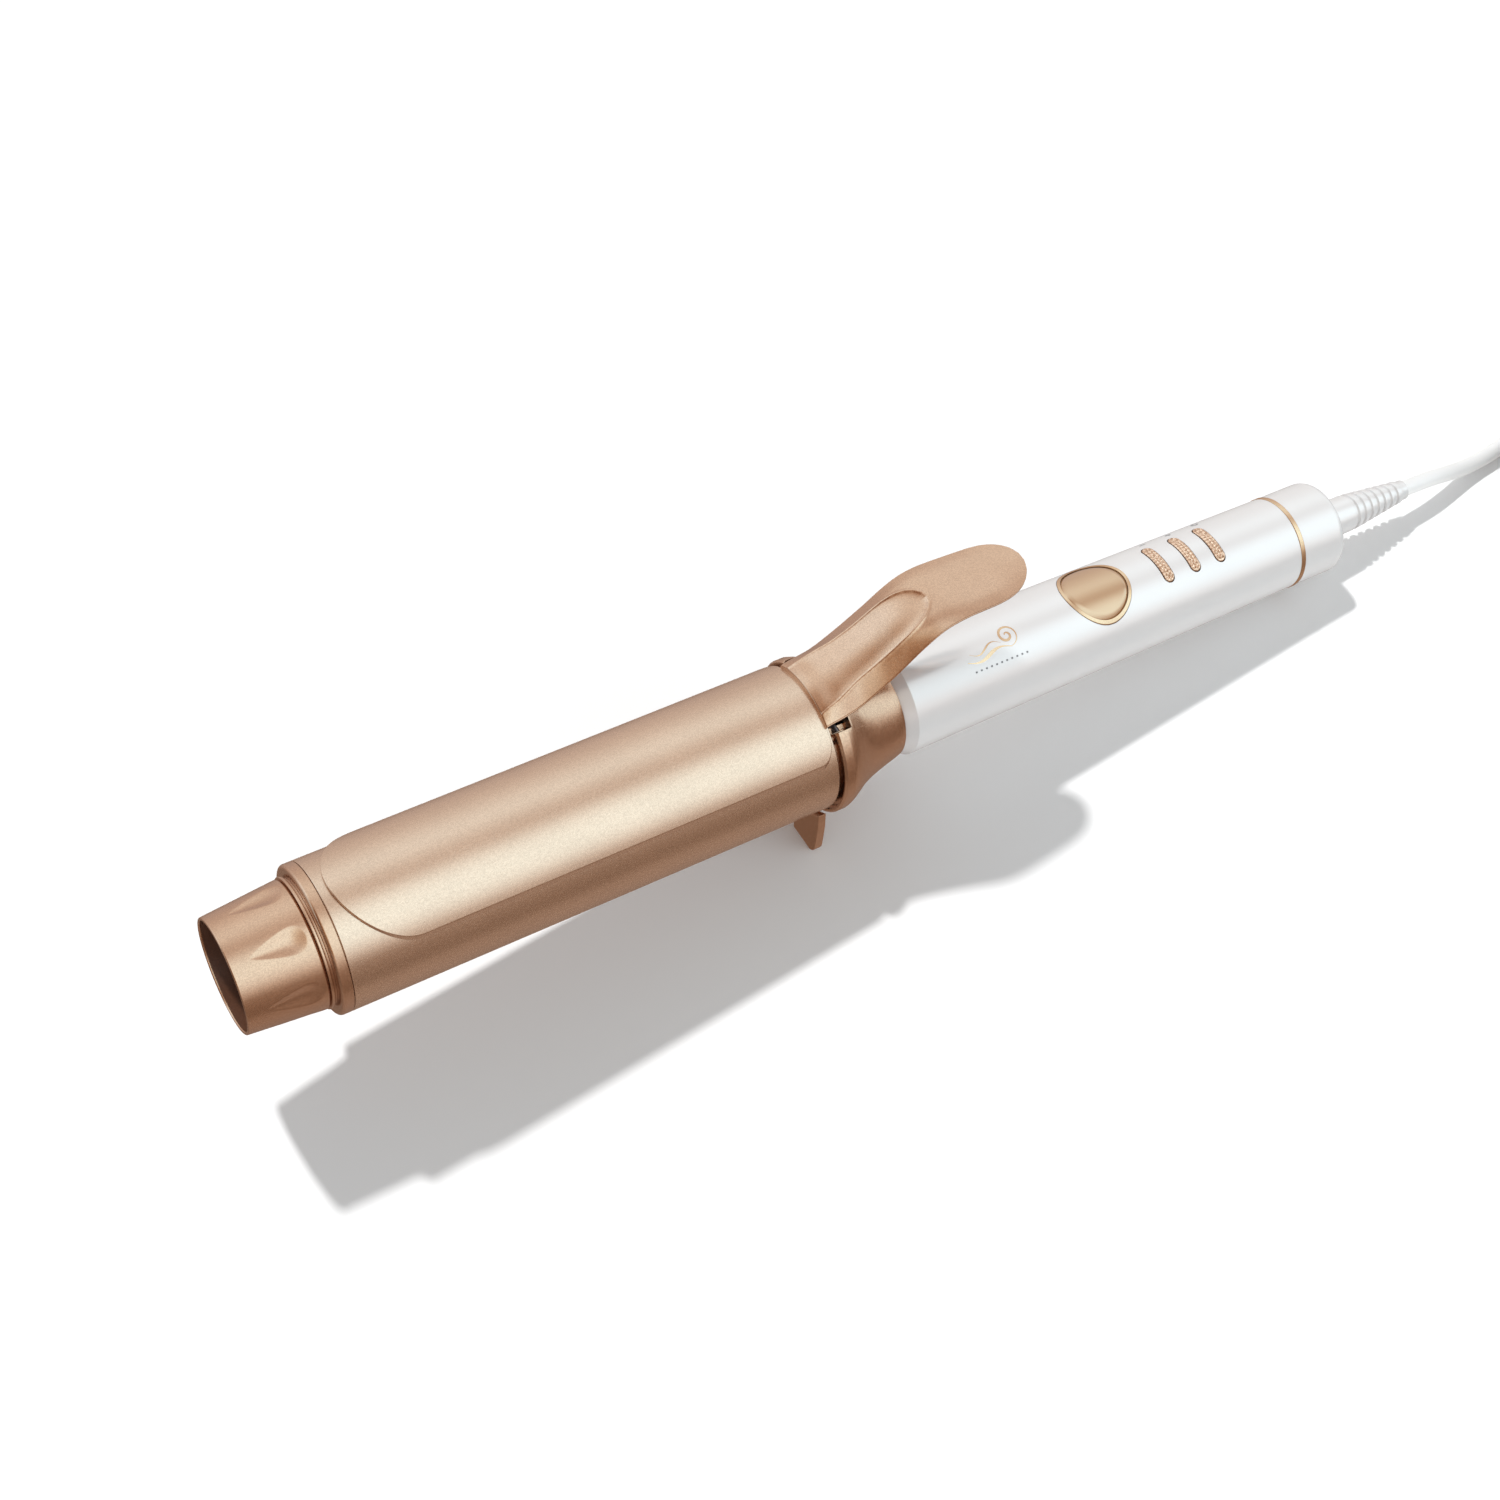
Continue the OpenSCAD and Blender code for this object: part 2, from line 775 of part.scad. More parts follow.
module brush_contacts() {
    color(steel) at_rest()
        for (side = [-1, 1])
            block([side > 0 ? 411 : 413.6, 418], [-1.2, 1.2],
                side > 0 ? [7, 7.6] : [-7.6, -7]);
}

// Tapered boot with ring grooves, which turns with the swivel
module cord_boot() {
    groove = 0.5;
    plain_back = 444;
    pitch = 3.5;
    rings = 7;
    color(pearl) at_rest()
        turned(concat(
            [[0, cap_back + 0.4], [boot_r, cap_back + 0.4], [boot_r, plain_back]],
            [for (i = [0:rings - 1]) let (
                    x = plain_back + i * pitch,
                    r = boot_r + (boot_end_r - boot_r) * (x - plain_back) / 28)
                each [[r - groove, x + 0.4], [r - groove, x + 1.4], [r, x + 1.8],
                    [r - 0.12, x + pitch]]],
            [[boot_end_r, boot_back - 2], [boot_end_r, boot_back], [0, boot_back]]));
}

// ---------------------------------------------------------------- cord

// Route of the cord from the boot to the coil, on the floor
route = [
    boot_point,
    [241, 0, 11.6], [246, 0, 10.9], [251, 0.1, 9.8], [256, 0.2, 8.4], [261, 0.4, 6.9],
    [266, 0.7, 5.5], [271, 1, 4.4], [276, 1.4, 3.8], [282, 1.9, 3.6], [288, 2.7, 3.6],
    [295, 4, 3.6], [302, 5.6, 3.6], [309, 7.2, 3.6], [316, 8.5, 3.6], [322, 9, 3.6]];

// Route of the last stretch, up from the coil's outer turn to the plug that lies on the coil
tail = [
    [283, -30, 21.6], [284.4, -20, 22], [288.6, -11, 23.2], [295, -3.6, 25], [303, 0.8, 27.2],
    [310, 2.3, 29.3], [316, 2.2, 31], [321.6, 2, 31.5]];

// Octagonal rings of a tube along a route, each square to the route
function tube_ring(points, i, r, sides = 8) =
    let (
        before = points[max(i - 1, 0)],
        after = points[min(i + 1, len(points) - 1)],
        along = (after - before) / norm(after - before),
        side = cross([0, 0, 1], along) / norm(cross([0, 0, 1], along)),
        up = cross(along, side))
    [for (k = [0:sides - 1]) let (a = (k + 0.5) * 360 / sides)
        points[i] + r * cos(a) * side + r * sin(a) * up];

module tube(points, r) {
    skin([for (i = [0:len(points) - 1]) tube_ring(points, i, r)]);
}

module cord() {
    color(pearl) {
        tube(route, cord_r);
        tube(tail, cord_r);
    }
}

module cord_coil() {
    half_w = coil_wide * cord_r;
    color(pearl)
        translate([coil_x, coil_y, tie_t])
            rotate_extrude()
                translate([coil_turn_r - half_w, 0])
                    square([2 * half_w, coil_high * cord_d]);
}

module cord_tie() {
    half_w = coil_wide * cord_r + 0.1;
    high = coil_high * cord_d;
    color(dark)
        translate([coil_x, coil_y, 0])
            rotate([0, 0, 200])
                translate([coil_turn_r, 0, 0])
                    difference() {
                        translate([-half_w - 0.7, -6, 0])
                            cube([2 * half_w + 1.4, 12, high + 2 * tie_t + 0.4]);
                        translate([-half_w, -6 - past, tie_t])
                            cube([2 * half_w, 12 + 2 * past, high + 0.2]);
                    }
}

// Flat two-pin plug, lying on the coil
plug_x = 322;
plug_y = 2;
plug_z = 31.5;

module plug_body() {
    color(pearl)
        translate([plug_x, plug_y, plug_z]) {
            rotate([0, 90, 0])
                rotate([0, 0, 90])
                    linear_extrude(height = 2)
                        circle(r = 4.6);
            translate([2, 0, -6.8])
                linear_extrude(height = 13.6)
                    polygon([[0, -6], [12, -15], [30, -17.6], [32, -15.6], [32, 15.6],
                        [30, 17.6], [12, 15], [0, 6]]);
        }
}

module plug_pins() {
    pin_gap = 18.6;
    color(steel)
        for (side = [-1, 1])
            rod_x(plug_x + 34, plug_x + 53, 2, plug_y + side * pin_gap / 2, plug_z);
}

cool_tip();
tip_screw();
front_ring();
barrel_tube();
ptc_heater();
heat_block_upper();
heat_block_lower();
block_springs();
temperature_sensor();
thermal_fuse();
heater_leads();
rear_insulator();
rear_collar();
hinge_pin();
clamp_spring();
clamp_plate();
thumb_lever();
lever_rivets();
stand();
stand_pin();
handle_sleeve();
chassis();
circuit_board();
board_screws();
triac();
capacitor();
tact_switches();
display_module();
display_bezel();
display_lens();
minus_button();
plus_button();
power_button();
mains_wires();
trim_ring();
end_cap();
swivel_core();
swivel_retainer();
slip_rings();
brush_contacts();
cord_boot();
cord();
cord_coil();
cord_tie();
plug_body();
plug_pins();
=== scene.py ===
import json
import math
from types import SimpleNamespace

import bmesh
import bpy
import numpy as np
from mathutils import Matrix, Vector


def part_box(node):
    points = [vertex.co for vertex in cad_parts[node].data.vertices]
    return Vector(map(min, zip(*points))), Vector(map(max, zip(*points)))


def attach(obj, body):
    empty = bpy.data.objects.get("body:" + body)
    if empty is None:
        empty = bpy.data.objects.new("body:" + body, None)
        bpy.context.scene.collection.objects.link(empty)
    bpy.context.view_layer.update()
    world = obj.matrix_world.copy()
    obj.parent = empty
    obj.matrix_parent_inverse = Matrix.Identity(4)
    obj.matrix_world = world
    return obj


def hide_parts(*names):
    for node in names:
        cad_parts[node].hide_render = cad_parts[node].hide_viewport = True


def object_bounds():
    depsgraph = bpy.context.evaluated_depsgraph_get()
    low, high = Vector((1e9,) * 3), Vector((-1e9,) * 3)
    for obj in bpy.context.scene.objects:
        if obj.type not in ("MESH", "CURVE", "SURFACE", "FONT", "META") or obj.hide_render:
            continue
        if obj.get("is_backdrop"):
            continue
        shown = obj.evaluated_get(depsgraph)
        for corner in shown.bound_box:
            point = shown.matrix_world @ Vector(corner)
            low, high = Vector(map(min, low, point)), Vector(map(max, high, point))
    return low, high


# Looks for the curling iron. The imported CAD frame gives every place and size. Pieces of the
# tool are drawn in tool millimetres: X is the station along the tool's axis from the open rim
# of the cool tip, Y is across and Z is the side of the thumb lever. TOOL takes them to the row.
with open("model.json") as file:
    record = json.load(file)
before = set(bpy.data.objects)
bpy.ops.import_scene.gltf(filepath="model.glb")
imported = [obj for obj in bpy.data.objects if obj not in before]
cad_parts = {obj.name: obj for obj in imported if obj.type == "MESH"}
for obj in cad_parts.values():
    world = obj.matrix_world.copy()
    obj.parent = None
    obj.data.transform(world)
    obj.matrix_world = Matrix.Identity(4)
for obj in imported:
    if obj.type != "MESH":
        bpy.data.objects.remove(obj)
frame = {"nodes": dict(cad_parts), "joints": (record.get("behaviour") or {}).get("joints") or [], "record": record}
CAD_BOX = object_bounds()

MM = 0.001
TAU = 2 * math.pi
scene = bpy.context.scene
nodes = frame["nodes"]
joints = {joint["name"]: joint for joint in frame["joints"]}


def add_object(name, data):
    """A new object in the scene."""
    item = bpy.data.objects.new(name, data)
    scene.collection.objects.link(item)
    return item


def aimed(direction):
    """The turn that points a camera or a light along a direction."""
    return direction.to_track_quat("-Z", "Y").to_euler()


# ---------------------------------------------------------------- places from the frame

def tool_matrix():
    """Takes tool millimetres to row metres. The cord swivel turns about the tool's axis."""
    along = Vector(joints["cord_swivel"]["axis"]).normalized()
    across = Vector((0, 1, 0))
    pivot = Vector(joints["cord_swivel"]["pos_m"])
    rim = min(v.co.dot(along) for v in nodes["cool_tip"].data.vertices)
    start = pivot + along * (rim - pivot.dot(along))
    turn = Matrix((along, across, along.cross(across))).transposed().to_4x4()
    return Matrix.Translation(start) @ turn @ Matrix.Scale(MM, 4)


TOOL = tool_matrix()
TO_TOOL = TOOL.inverted()


def tool_points(node):
    """A CAD node's vertices in tool millimetres, as an array."""
    return np.array([TO_TOOL @ v.co for v in nodes[node].data.vertices])


def reach(node):
    """How far a CAD node reaches in tool millimetres."""
    points = tool_points(node)
    radii = np.hypot(points[:, 1], points[:, 2])
    return SimpleNamespace(
        front=points[:, 0].min(), back=points[:, 0].max(),
        radius=radii.max(), inner=radii.min(), half_w=points[:, 1].max(),
        low=points[:, 2].min(), high=points[:, 2].max())


def on_tool(joint):
    """A joint's place in tool millimetres."""
    return TO_TOOL @ Vector(joints[joint]["pos_m"])


# ---------------------------------------------------------------- camera, light and floor

EYE = Vector((-0.27580, -0.38886, 0.70251))
VIEW_AZIMUTH = math.radians(-30.302)
VIEW_ELEVATION = math.radians(55.476)
LENS_MM = 57.75


def add_camera():
    data = bpy.data.cameras.new("camera")
    data.lens = LENS_MM
    data.sensor_width = 36
    data.clip_end = 20
    camera = add_object("camera", data)
    level = math.cos(VIEW_ELEVATION)
    camera.location = EYE
    camera.rotation_euler = aimed(Vector((
        -math.sin(VIEW_AZIMUTH) * level, math.cos(VIEW_AZIMUTH) * level,
        -math.sin(VIEW_ELEVATION))))
    scene.camera = camera


SUN_ENERGY = 2.3
SUN_ANGLE = math.radians(3.5)
SUN_DIRECTION = Vector((0.03, -0.59, -1))
PANEL_ENERGY = 9.5
PANEL_COLOR = (0.9, 0.97, 1)
PANEL_SIZE = (1.6, 0.35)
PANEL_PLACE = Vector((0.7, -1.1, 0.3))
PANEL_TARGET = Vector((0, 0, 0.03))


def add_sun():
    """The key light: its shadows fall straight towards the viewer. The studio's own light gives
    the paint its reflections."""
    data = bpy.data.lights.new("key", "SUN")
    data.energy = SUN_ENERGY
    data.angle = SUN_ANGLE
    sun = add_object("key", data)
    sun.rotation_euler = aimed(SUN_DIRECTION)
    sun.visible_glossy = False


def add_panel():
    """A low wide panel on the viewer's side, which lights the near side of the handle."""
    data = bpy.data.lights.new("panel", "AREA")
    data.shape = "RECTANGLE"
    data.size, data.size_y = PANEL_SIZE
    data.energy = PANEL_ENERGY
    data.color = PANEL_COLOR
    panel = add_object("panel", data)
    panel.location = PANEL_PLACE
    panel.rotation_euler = aimed(PANEL_TARGET - PANEL_PLACE)
    panel.visible_glossy = False


# How bright the studio looks in a reflection, by the direction's angle round the X axis in
# degrees: 0 is level and away from the viewer, 90 is up and 180 is level towards the viewer.
STUDIO = [
    (-180, 0.44), (-165, 0.36), (-150, 0.29), (-142, 0.32), (-132, 0.44), (-110, 0.44),
    (-90, 0.36), (-75, 0.3), (-60, 0.26), (-45, 0.34), (-32, 0.5), (-20, 0.64),
    (-5, 0.76), (7, 0.84), (19, 0.95), (31, 1.06), (43, 1.18), (55, 1.22),
    (66, 1.1), (77, 0.92), (86, 0.86), (94, 1.02), (104, 1.3), (116, 1.48),
    (132, 1.52), (146, 1.45), (158, 1.2), (168, 0.86), (180, 0.44)]
STUDIO_TOP = 1.6
# How much of that is left towards the tip's end of the room and towards the cord's end
STUDIO_FRONT = ((-1.1, 0.4), (-0.5, 1))
STUDIO_BACK = ((0.6, 1), (0.95, 0.85))
# The exponents for red, green and blue that make a dimmed part of the studio warmer
WARMTH = (0.6, 1, 1.35)
# Towards the tip's end the gap between the panels widens. How the brightness changes there, by
# the same angle, and from which to which X it does so
TIP_END = [
    (-180, 1.1), (-20, 1), (12, 1.3), (30, 1.4), (56, 1.25), (74, 0.5), (106, 0.5),
    (120, 0.55), (150, 0.45), (168, 0.9), (180, 1)]
TIP_END_X = ((-0.05, 0), (-0.42, 1))
# The panels on the viewer's side stop short of the tip's end
SHORT_PANELS = [(54, 1), (82, 0.35), (150, 0.35), (166, 0.9), (180, 1)]
SHORT_PANELS_X = ((-0.36, 0), (-0.5, 1))
# Light from the zenith and what is added at the horizon
FILL_TOP = 0.24
FILL_SIDE = 0.78


def studio_color(level):
    """The studio's bright panels are cool and its dark side is warm."""
    return (level / STUDIO_TOP, level * (0.52 + 0.52 * level) / STUDIO_TOP,
        level * (0.26 + 0.82 * level) / STUDIO_TOP, 1)


def add_world():
    """A soft fill, and a banded studio that only reflections see."""
    world = bpy.data.worlds.new("studio")
    world.use_nodes = True
    tree = world.node_tree
    place = add_node(tree, "ShaderNodeTexCoord").outputs["Generated"]
    x, y, z = add_node(tree, "ShaderNodeSeparateXYZ", {"Vector": place}).outputs
    fill = tree.nodes["Background"]
    set_inputs(fill, {
        "Color": (1, 1, 1, 1),
        "Strength": map_range(tree, z, (0, FILL_TOP + FILL_SIDE), (1, FILL_TOP))})
    turn = map_range(tree, math_node(tree, "ARCTAN2", z, y), (-math.pi, 0), (math.pi, 1))
    bands = angle_ramp(tree, turn, [(degrees, studio_color(level)) for degrees, level in STUDIO])
    change = 1
    for stops, range_x in ((TIP_END, TIP_END_X), (SHORT_PANELS, SHORT_PANELS_X)):
        # A ramp's colours end at 1, so it holds half of each factor
        half = angle_ramp(tree, turn, [
            (degrees, (level / 2, level / 2, level / 2, 1)) for degrees, level in stops])
        more = math_node(tree, "SUBTRACT", math_node(tree, "MULTIPLY", half, 2), 1)
        share = map_range(tree, x, *range_x)
        change = math_node(
            tree, "MULTIPLY", change,
            math_node(tree, "ADD", 1, math_node(tree, "MULTIPLY", share, more)))
    tint = add_node(tree, "ShaderNodeCombineXYZ", {
        axis: math_node(tree, "POWER", change, exponent) for axis, exponent in enumerate(WARMTH)})
    tinted = add_node(
        tree, "ShaderNodeVectorMath", {0: bands, 1: tint.outputs["Vector"]}, operation="MULTIPLY")
    strength = STUDIO_TOP
    for ends in (STUDIO_FRONT, STUDIO_BACK):
        strength = math_node(tree, "MULTIPLY", strength, map_range(tree, x, *ends))
    panels = add_node(tree, "ShaderNodeBackground", {
        "Color": tinted.outputs["Vector"], "Strength": strength})
    both = add_node(tree, "ShaderNodeMixShader", {
        "Fac": add_node(tree, "ShaderNodeLightPath").outputs["Is Glossy Ray"],
        1: fill.outputs["Background"], 2: panels.outputs["Background"]})
    set_inputs(tree.nodes["World Output"], {"Surface": both.outputs["Shader"]})
    scene.world = world


def add_floor():
    half = 4.0
    mesh = bpy.data.meshes.new("floor")
    corners = [(-half, -half, 0), (half, -half, 0), (half, half, 0), (-half, half, 0)]
    mesh.from_pydata(corners, [], [(0, 1, 2, 3)])
    floor = add_object("floor", mesh)
    floor.data.materials.append(floor_material())
    floor.visible_glossy = False
    floor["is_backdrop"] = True


# ---------------------------------------------------------------- materials

def node_material(name):
    """A new material, its node tree and its shader."""
    material = bpy.data.materials.new(name)
    material.use_nodes = True
    tree = material.node_tree
    return material, tree, tree.nodes["Principled BSDF"]


def set_inputs(node, values):
    """Sets a node's inputs. A socket is linked, and a number or a colour is written in."""
    for key, value in values.items():
        if isinstance(value, bpy.types.NodeSocket):
            node.id_data.links.new(value, node.inputs[key])
        else:
            node.inputs[key].default_value = value


def add_node(tree, kind, values=None, **settings):
    """Adds a node. Settings are its properties and values its inputs."""
    node = tree.nodes.new(kind)
    for key, value in settings.items():
        setattr(node, key, value)
    set_inputs(node, values or {})
    return node


def math_node(tree, operation, a, b):
    """One step of arithmetic. A number or a socket may be given for each value."""
    return add_node(tree, "ShaderNodeMath", {0: a, 1: b}, operation=operation).outputs["Value"]


def map_range(tree, source, start, end):
    """Maps start = (from, to) up to end = (from, to)."""
    return add_node(tree, "ShaderNodeMapRange", {
        "Value": source, "From Min": start[0], "From Max": end[0],
        "To Min": start[1], "To Max": end[1]}).outputs["Result"]


def spread(tree, source, low, high):
    """Maps a 0 to 1 value to a number between low and high."""
    return map_range(tree, source, (0, low), (1, high))


def color_ramp(tree, source, stops):
    """A colour ramp from stops of (position, colour)."""
    node = add_node(tree, "ShaderNodeValToRGB", {"Fac": source})
    elements = node.color_ramp.elements
    for _ in stops[2:]:
        elements.new(0.5)
    for element, (position, _) in zip(elements, stops):
        element.position = position
    for element, (_, color) in zip(elements, stops):
        element.color = color
    return node.outputs["Color"]


def angle_ramp(tree, turn, stops):
    """A colour ramp over the angle round the X axis, from stops in degrees."""
    return color_ramp(tree, turn, [((degrees + 180) / 360, color) for degrees, color in stops])


def ramp(tree, source, low, high, start=0.3, end=0.7):
    """Maps a 0 to 1 value to a colour between low and high."""
    return color_ramp(tree, source, [(start, (*low, 1)), (end, (*high, 1))])


def own_space(tree):
    """A point's place in the piece's own space."""
    return add_node(tree, "ShaderNodeTexCoord").outputs["Object"]


def noise(tree, scale, detail=2.0, stretch=(1, 1, 1)):
    """Fractal noise in the piece's own space. Scale is in waves per metre."""
    mapping = add_node(tree, "ShaderNodeMapping", {"Vector": own_space(tree), "Scale": stretch})
    return add_node(tree, "ShaderNodeTexNoise", {
        "Vector": mapping.outputs["Vector"], "Scale": scale, "Detail": detail}).outputs["Fac"]


def flakes(tree, scale):
    """A random value for each small cell, such as a metal flake in paint."""
    cells = add_node(tree, "ShaderNodeTexVoronoi", {"Vector": own_space(tree), "Scale": scale})
    return add_node(
        tree, "ShaderNodeSeparateColor", {"Color": cells.outputs["Color"]}).outputs["Red"]


def multiply(tree, a, b):
    return add_node(
        tree, "ShaderNodeMix", {"Factor": 1, "A": a, "B": b},
        data_type="RGBA", blend_type="MULTIPLY").outputs["Result"]


def bump(tree, source, height_mm):
    return add_node(tree, "ShaderNodeBump", {
        "Strength": 1, "Distance": height_mm * MM, "Height": source}).outputs["Normal"]


def metallic_paint(name, color, metallic=0.92, roughness=0.24, coat=0.3, flake=0.1):
    """Satin paint with fine metal flakes. The flakes vary in brightness and in tilt."""
    material, tree, shader = node_material(name)
    dark = tuple(c * (1 - flake) for c in color)
    light = tuple(min(1, c * (1 + flake)) for c in color)
    fine = ramp(tree, flakes(tree, 3200), dark, light, 0, 1)
    cloud = ramp(tree, noise(tree, 45), (0.96, 0.96, 0.96), (1, 1, 1))
    set_inputs(shader, {
        "Base Color": multiply(tree, fine, cloud),
        "Roughness": spread(tree, flakes(tree, 2300), roughness - 0.04, roughness + 0.06),
        "Metallic": metallic, "Coat Weight": coat, "Coat Roughness": 0.16,
        "Normal": bump(tree, noise(tree, 2600, 1), 0.006)})
    return material


def plastic(name, color, roughness=0.4, grain_mm=0.004, grain=1800, coat=0.0, vary=0.04,
        metallic=0.0):
    """Moulded plastic with a fine eroded grain and slight colour variation."""
    material, tree, shader = node_material(name)
    low = tuple(c * (1 - vary) for c in color)
    set_inputs(shader, {
        "Base Color": ramp(tree, noise(tree, 60, 3), low, color),
        "Roughness": spread(tree, noise(tree, 150, 3), roughness - 0.04, roughness + 0.05),
        "Coat Weight": coat, "Metallic": metallic,
        "Normal": bump(tree, noise(tree, grain, 2), grain_mm)})
    return material


def knurl_paint_with_shade(name, color):
    """Metallic paint on a knurled face. The knurl itself is in the mesh; the diamond pattern of light and dark
    that this multiplies into the colour is painted shade for its facets.
    """
    material = metallic_paint(name, color, 0.95, 0.26, 0.1, 0)
    tree = material.node_tree
    shader = tree.nodes["Principled BSDF"]
    turned = add_node(tree, "ShaderNodeMapping", {
        "Vector": own_space(tree), "Rotation": (0, 0, TAU / 8)})
    # Painted shade: light and dark diamonds laid on the colour
    facet_shade = add_node(tree, "ShaderNodeTexChecker", {
        "Vector": turned.outputs["Vector"], "Scale": 1050,
        "Color1": (0.6, 0.53, 0.48, 1), "Color2": (1, 1, 1, 1)})
    base = shader.inputs["Base Color"].links[0].from_socket
    set_inputs(shader, {"Base Color": multiply(tree, base, facet_shade.outputs["Color"])})
    return material


def pearl_lacquer(name, color):
    """White lacquer with a pearl pigment: it reflects strongly, in a warm tone."""
    material, tree, shader = node_material(name)
    low = tuple(c * 0.985 for c in color)
    set_inputs(shader, {
        "Base Color": ramp(tree, noise(tree, 40, 1), low, color),
        "Roughness": spread(tree, noise(tree, 60, 1), 0.2, 0.25),
        "IOR": 3.2, "Specular Tint": (1, 0.75, 0.64, 1),
        "Normal": bump(tree, noise(tree, 500, 1), 0.0008)})
    return material


def brushed_metal(name, color, roughness=0.3):
    """Drawn or brushed metal: fine lines along the tool."""
    material, tree, shader = node_material(name)
    lines = noise(tree, 700, 3, (1, 12, 12))
    low = tuple(c * 0.86 for c in color)
    set_inputs(shader, {
        "Base Color": ramp(tree, lines, low, color),
        "Roughness": spread(tree, lines, roughness - 0.08, roughness + 0.1),
        "Metallic": 1, "Normal": bump(tree, lines, 0.004)})
    return material


def floor_material():
    material, _, shader = node_material("studio_floor")
    set_inputs(shader, {
        "Base Color": (0.93, 0.93, 0.93, 1), "Roughness": 1, "Specular IOR Level": 0})
    return material


ROSE_GOLD = (0.63, 0.435, 0.305)
ROSE_BROWN = (0.56, 0.34, 0.215)
GOLD = (0.68, 0.46, 0.28)
# Near-black brown for the sheet inside the cool tip: painted shade for the tip's shadowed inside
INSIDE_SHADE_BROWN = (0.13, 0.055, 0.03)
PEARL = (0.64, 0.685, 0.7)
CORD_WHITE = (0.78, 0.778, 0.77)

# Each material's maker and what it's given after the name
MAKERS = {
    "rose_gold_coating": (metallic_paint, ROSE_GOLD),
    "rose_gold_plastic": (metallic_paint, ROSE_BROWN, 0.95, 0.2),
    "pearl_plastic": (pearl_lacquer, PEARL),
    "gold_plating": (metallic_paint, GOLD, 0.95, 0.2, 0.2, 0.04),
    # The buttons' face: metallic paint with painted facet shade
    "knurled_gold": (knurl_paint_with_shade, (0.88, 0.6, 0.42)),
    # Painted shade inside the cool tip
    "tip_lining_paint": (metallic_paint, INSIDE_SHADE_BROWN, 0.3, 0.4, 0),
    "slip_ring_brass": (brushed_metal, (0.8, 0.58, 0.28)),
    "lens_plastic": (plastic, (0.56, 0.36, 0.21), 0.14, 0.0003, 600, 0.6, 0.02, 0.8),
    "cord_plastic": (plastic, CORD_WHITE, 0.42),
    "dark_plastic": (plastic, (0.03, 0.026, 0.025), 0.5),
    "grey_plastic": (plastic, (0.16, 0.16, 0.165), 0.45),
    "spring_steel": (brushed_metal, (0.62, 0.62, 0.64)),
    "plated_pins": (brushed_metal, (0.8, 0.8, 0.8), 0.18),
    "spreader_aluminium": (brushed_metal, (0.78, 0.79, 0.8), 0.35),
    "heater_ceramic": (plastic, (0.8, 0.77, 0.7), 0.7),
    "board_green": (plastic, (0.03, 0.2, 0.1), 0.35),
    "wire_red": (plastic, (0.5, 0.05, 0.04), 0.45),
    "wire_blue": (plastic, (0.05, 0.12, 0.5), 0.45),
}
MATERIALS = {name: make(name, *given) for name, (make, *given) in MAKERS.items()}


def dress_cad_nodes():
    """Every CAD node takes the material of its slot."""
    for part in frame["record"]["subparts"]:
        mesh = nodes[part["node"]].data
        mesh.materials.clear()
        mesh.materials.append(MATERIALS[part["material_slot"]])


# ---------------------------------------------------------------- mesh helpers

def new_piece(name, verts, faces, slot, tool=True):
    """A mesh piece with welded points and outward faces, in the slot's material."""
    mesh = bpy.data.meshes.new(name)
    mesh.from_pydata([tuple(v) for v in verts], [], faces)
    if tool:
        mesh.transform(TOOL)
    work = bmesh.new()
    work.from_mesh(mesh)
    bmesh.ops.remove_doubles(work, verts=work.verts, dist=1e-7)
    bmesh.ops.recalc_face_normals(work, faces=work.faces)
    work.to_mesh(mesh)
    work.free()
    mesh.materials.append(MATERIALS[slot])
    return add_object(name, mesh)


def settle(piece, slot, body, *replaced, sharp=40):
    """Smooth shading, then the piece's body and the CAD nodes that it stands for. The slot is not used."""
    piece.data.shade_smooth()
    piece.data.set_sharp_from_angle(angle=math.radians(sharp))
    piece.modifiers.new("normals", "WEIGHTED_NORMAL").keep_sharp = True
    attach(piece, body)
    if replaced:
        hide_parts(*replaced)


def add_piece(name, shape, slot, body, *replaced, tool=True, sharp=40):
    """A settled piece from (points, faces)."""
    piece = new_piece(name, *shape, slot, tool=tool)
    settle(piece, slot, body, *replaced, sharp=sharp)
    return piece


def rounded(corners, steps=5):
    """A closed outline with its corners rounded. A corner is (a, b) or (a, b, radius)."""
    count = len(corners)
    outline = []
    for i, corner in enumerate(corners):
        here = Vector(corner[:2])
        if len(corner) < 3:
            outline.append(tuple(here))
            continue
        before = Vector(corners[i - 1][:2]) - here
        after = Vector(corners[(i + 1) % count][:2]) - here
        half = before.angle(after) / 2
        back = min(corner[2] / math.tan(half), 0.48 * before.length, 0.48 * after.length)
        radius = back * math.tan(half)
        middle = here + (before.normalized() + after.normalized()).normalized() * (
            radius / math.sin(half))
        start = here + before.normalized() * back - middle
        end = here + after.normalized() * back - middle
        sweep = start.angle(end)
        for k in range(steps + 1):
            t = k / steps
            arm = (start * math.sin((1 - t) * sweep) + end * math.sin(t * sweep)) / math.sin(sweep)
            outline.append(tuple(middle + arm))
    return outline


def around(u, radius, angle):
    """A point at an angle from the lever side, positive towards the viewer's side."""
    return (u, -radius * math.sin(angle), radius * math.cos(angle))


def lathe(name, outline, slot, segments=192, shape=None):
    """Turns a closed outline of (station, radius). shape(u, r, angle) may change r."""
    count = len(outline)
    verts = []
    for k in range(segments):
        angle = TAU * k / segments
        for u, r in outline:
            verts.append(around(u, shape(u, r, angle) if shape else r, angle))
    return new_piece(name, verts, ring_faces(segments, count), slot)


def add_turned(name, outline, slot, node, segments, body="root"):
    """A settled lathe piece that stands for a CAD node."""
    settle(lathe(name, outline, slot, segments), slot, body, node)


def strip(a, b):
    """Quads between two closed loops of the same length."""
    count = len(a)
    return [(a[i], a[(i + 1) % count], b[(i + 1) % count], b[i]) for i in range(count)]


def ring_faces(rows, count):
    """Faces of a ring of closed loops, the last of which meets the first."""
    loops = [list(range(k * count, (k + 1) * count)) for k in range(rows)]
    return [face for k in range(rows) for face in strip(loops[k], loops[(k + 1) % rows])]


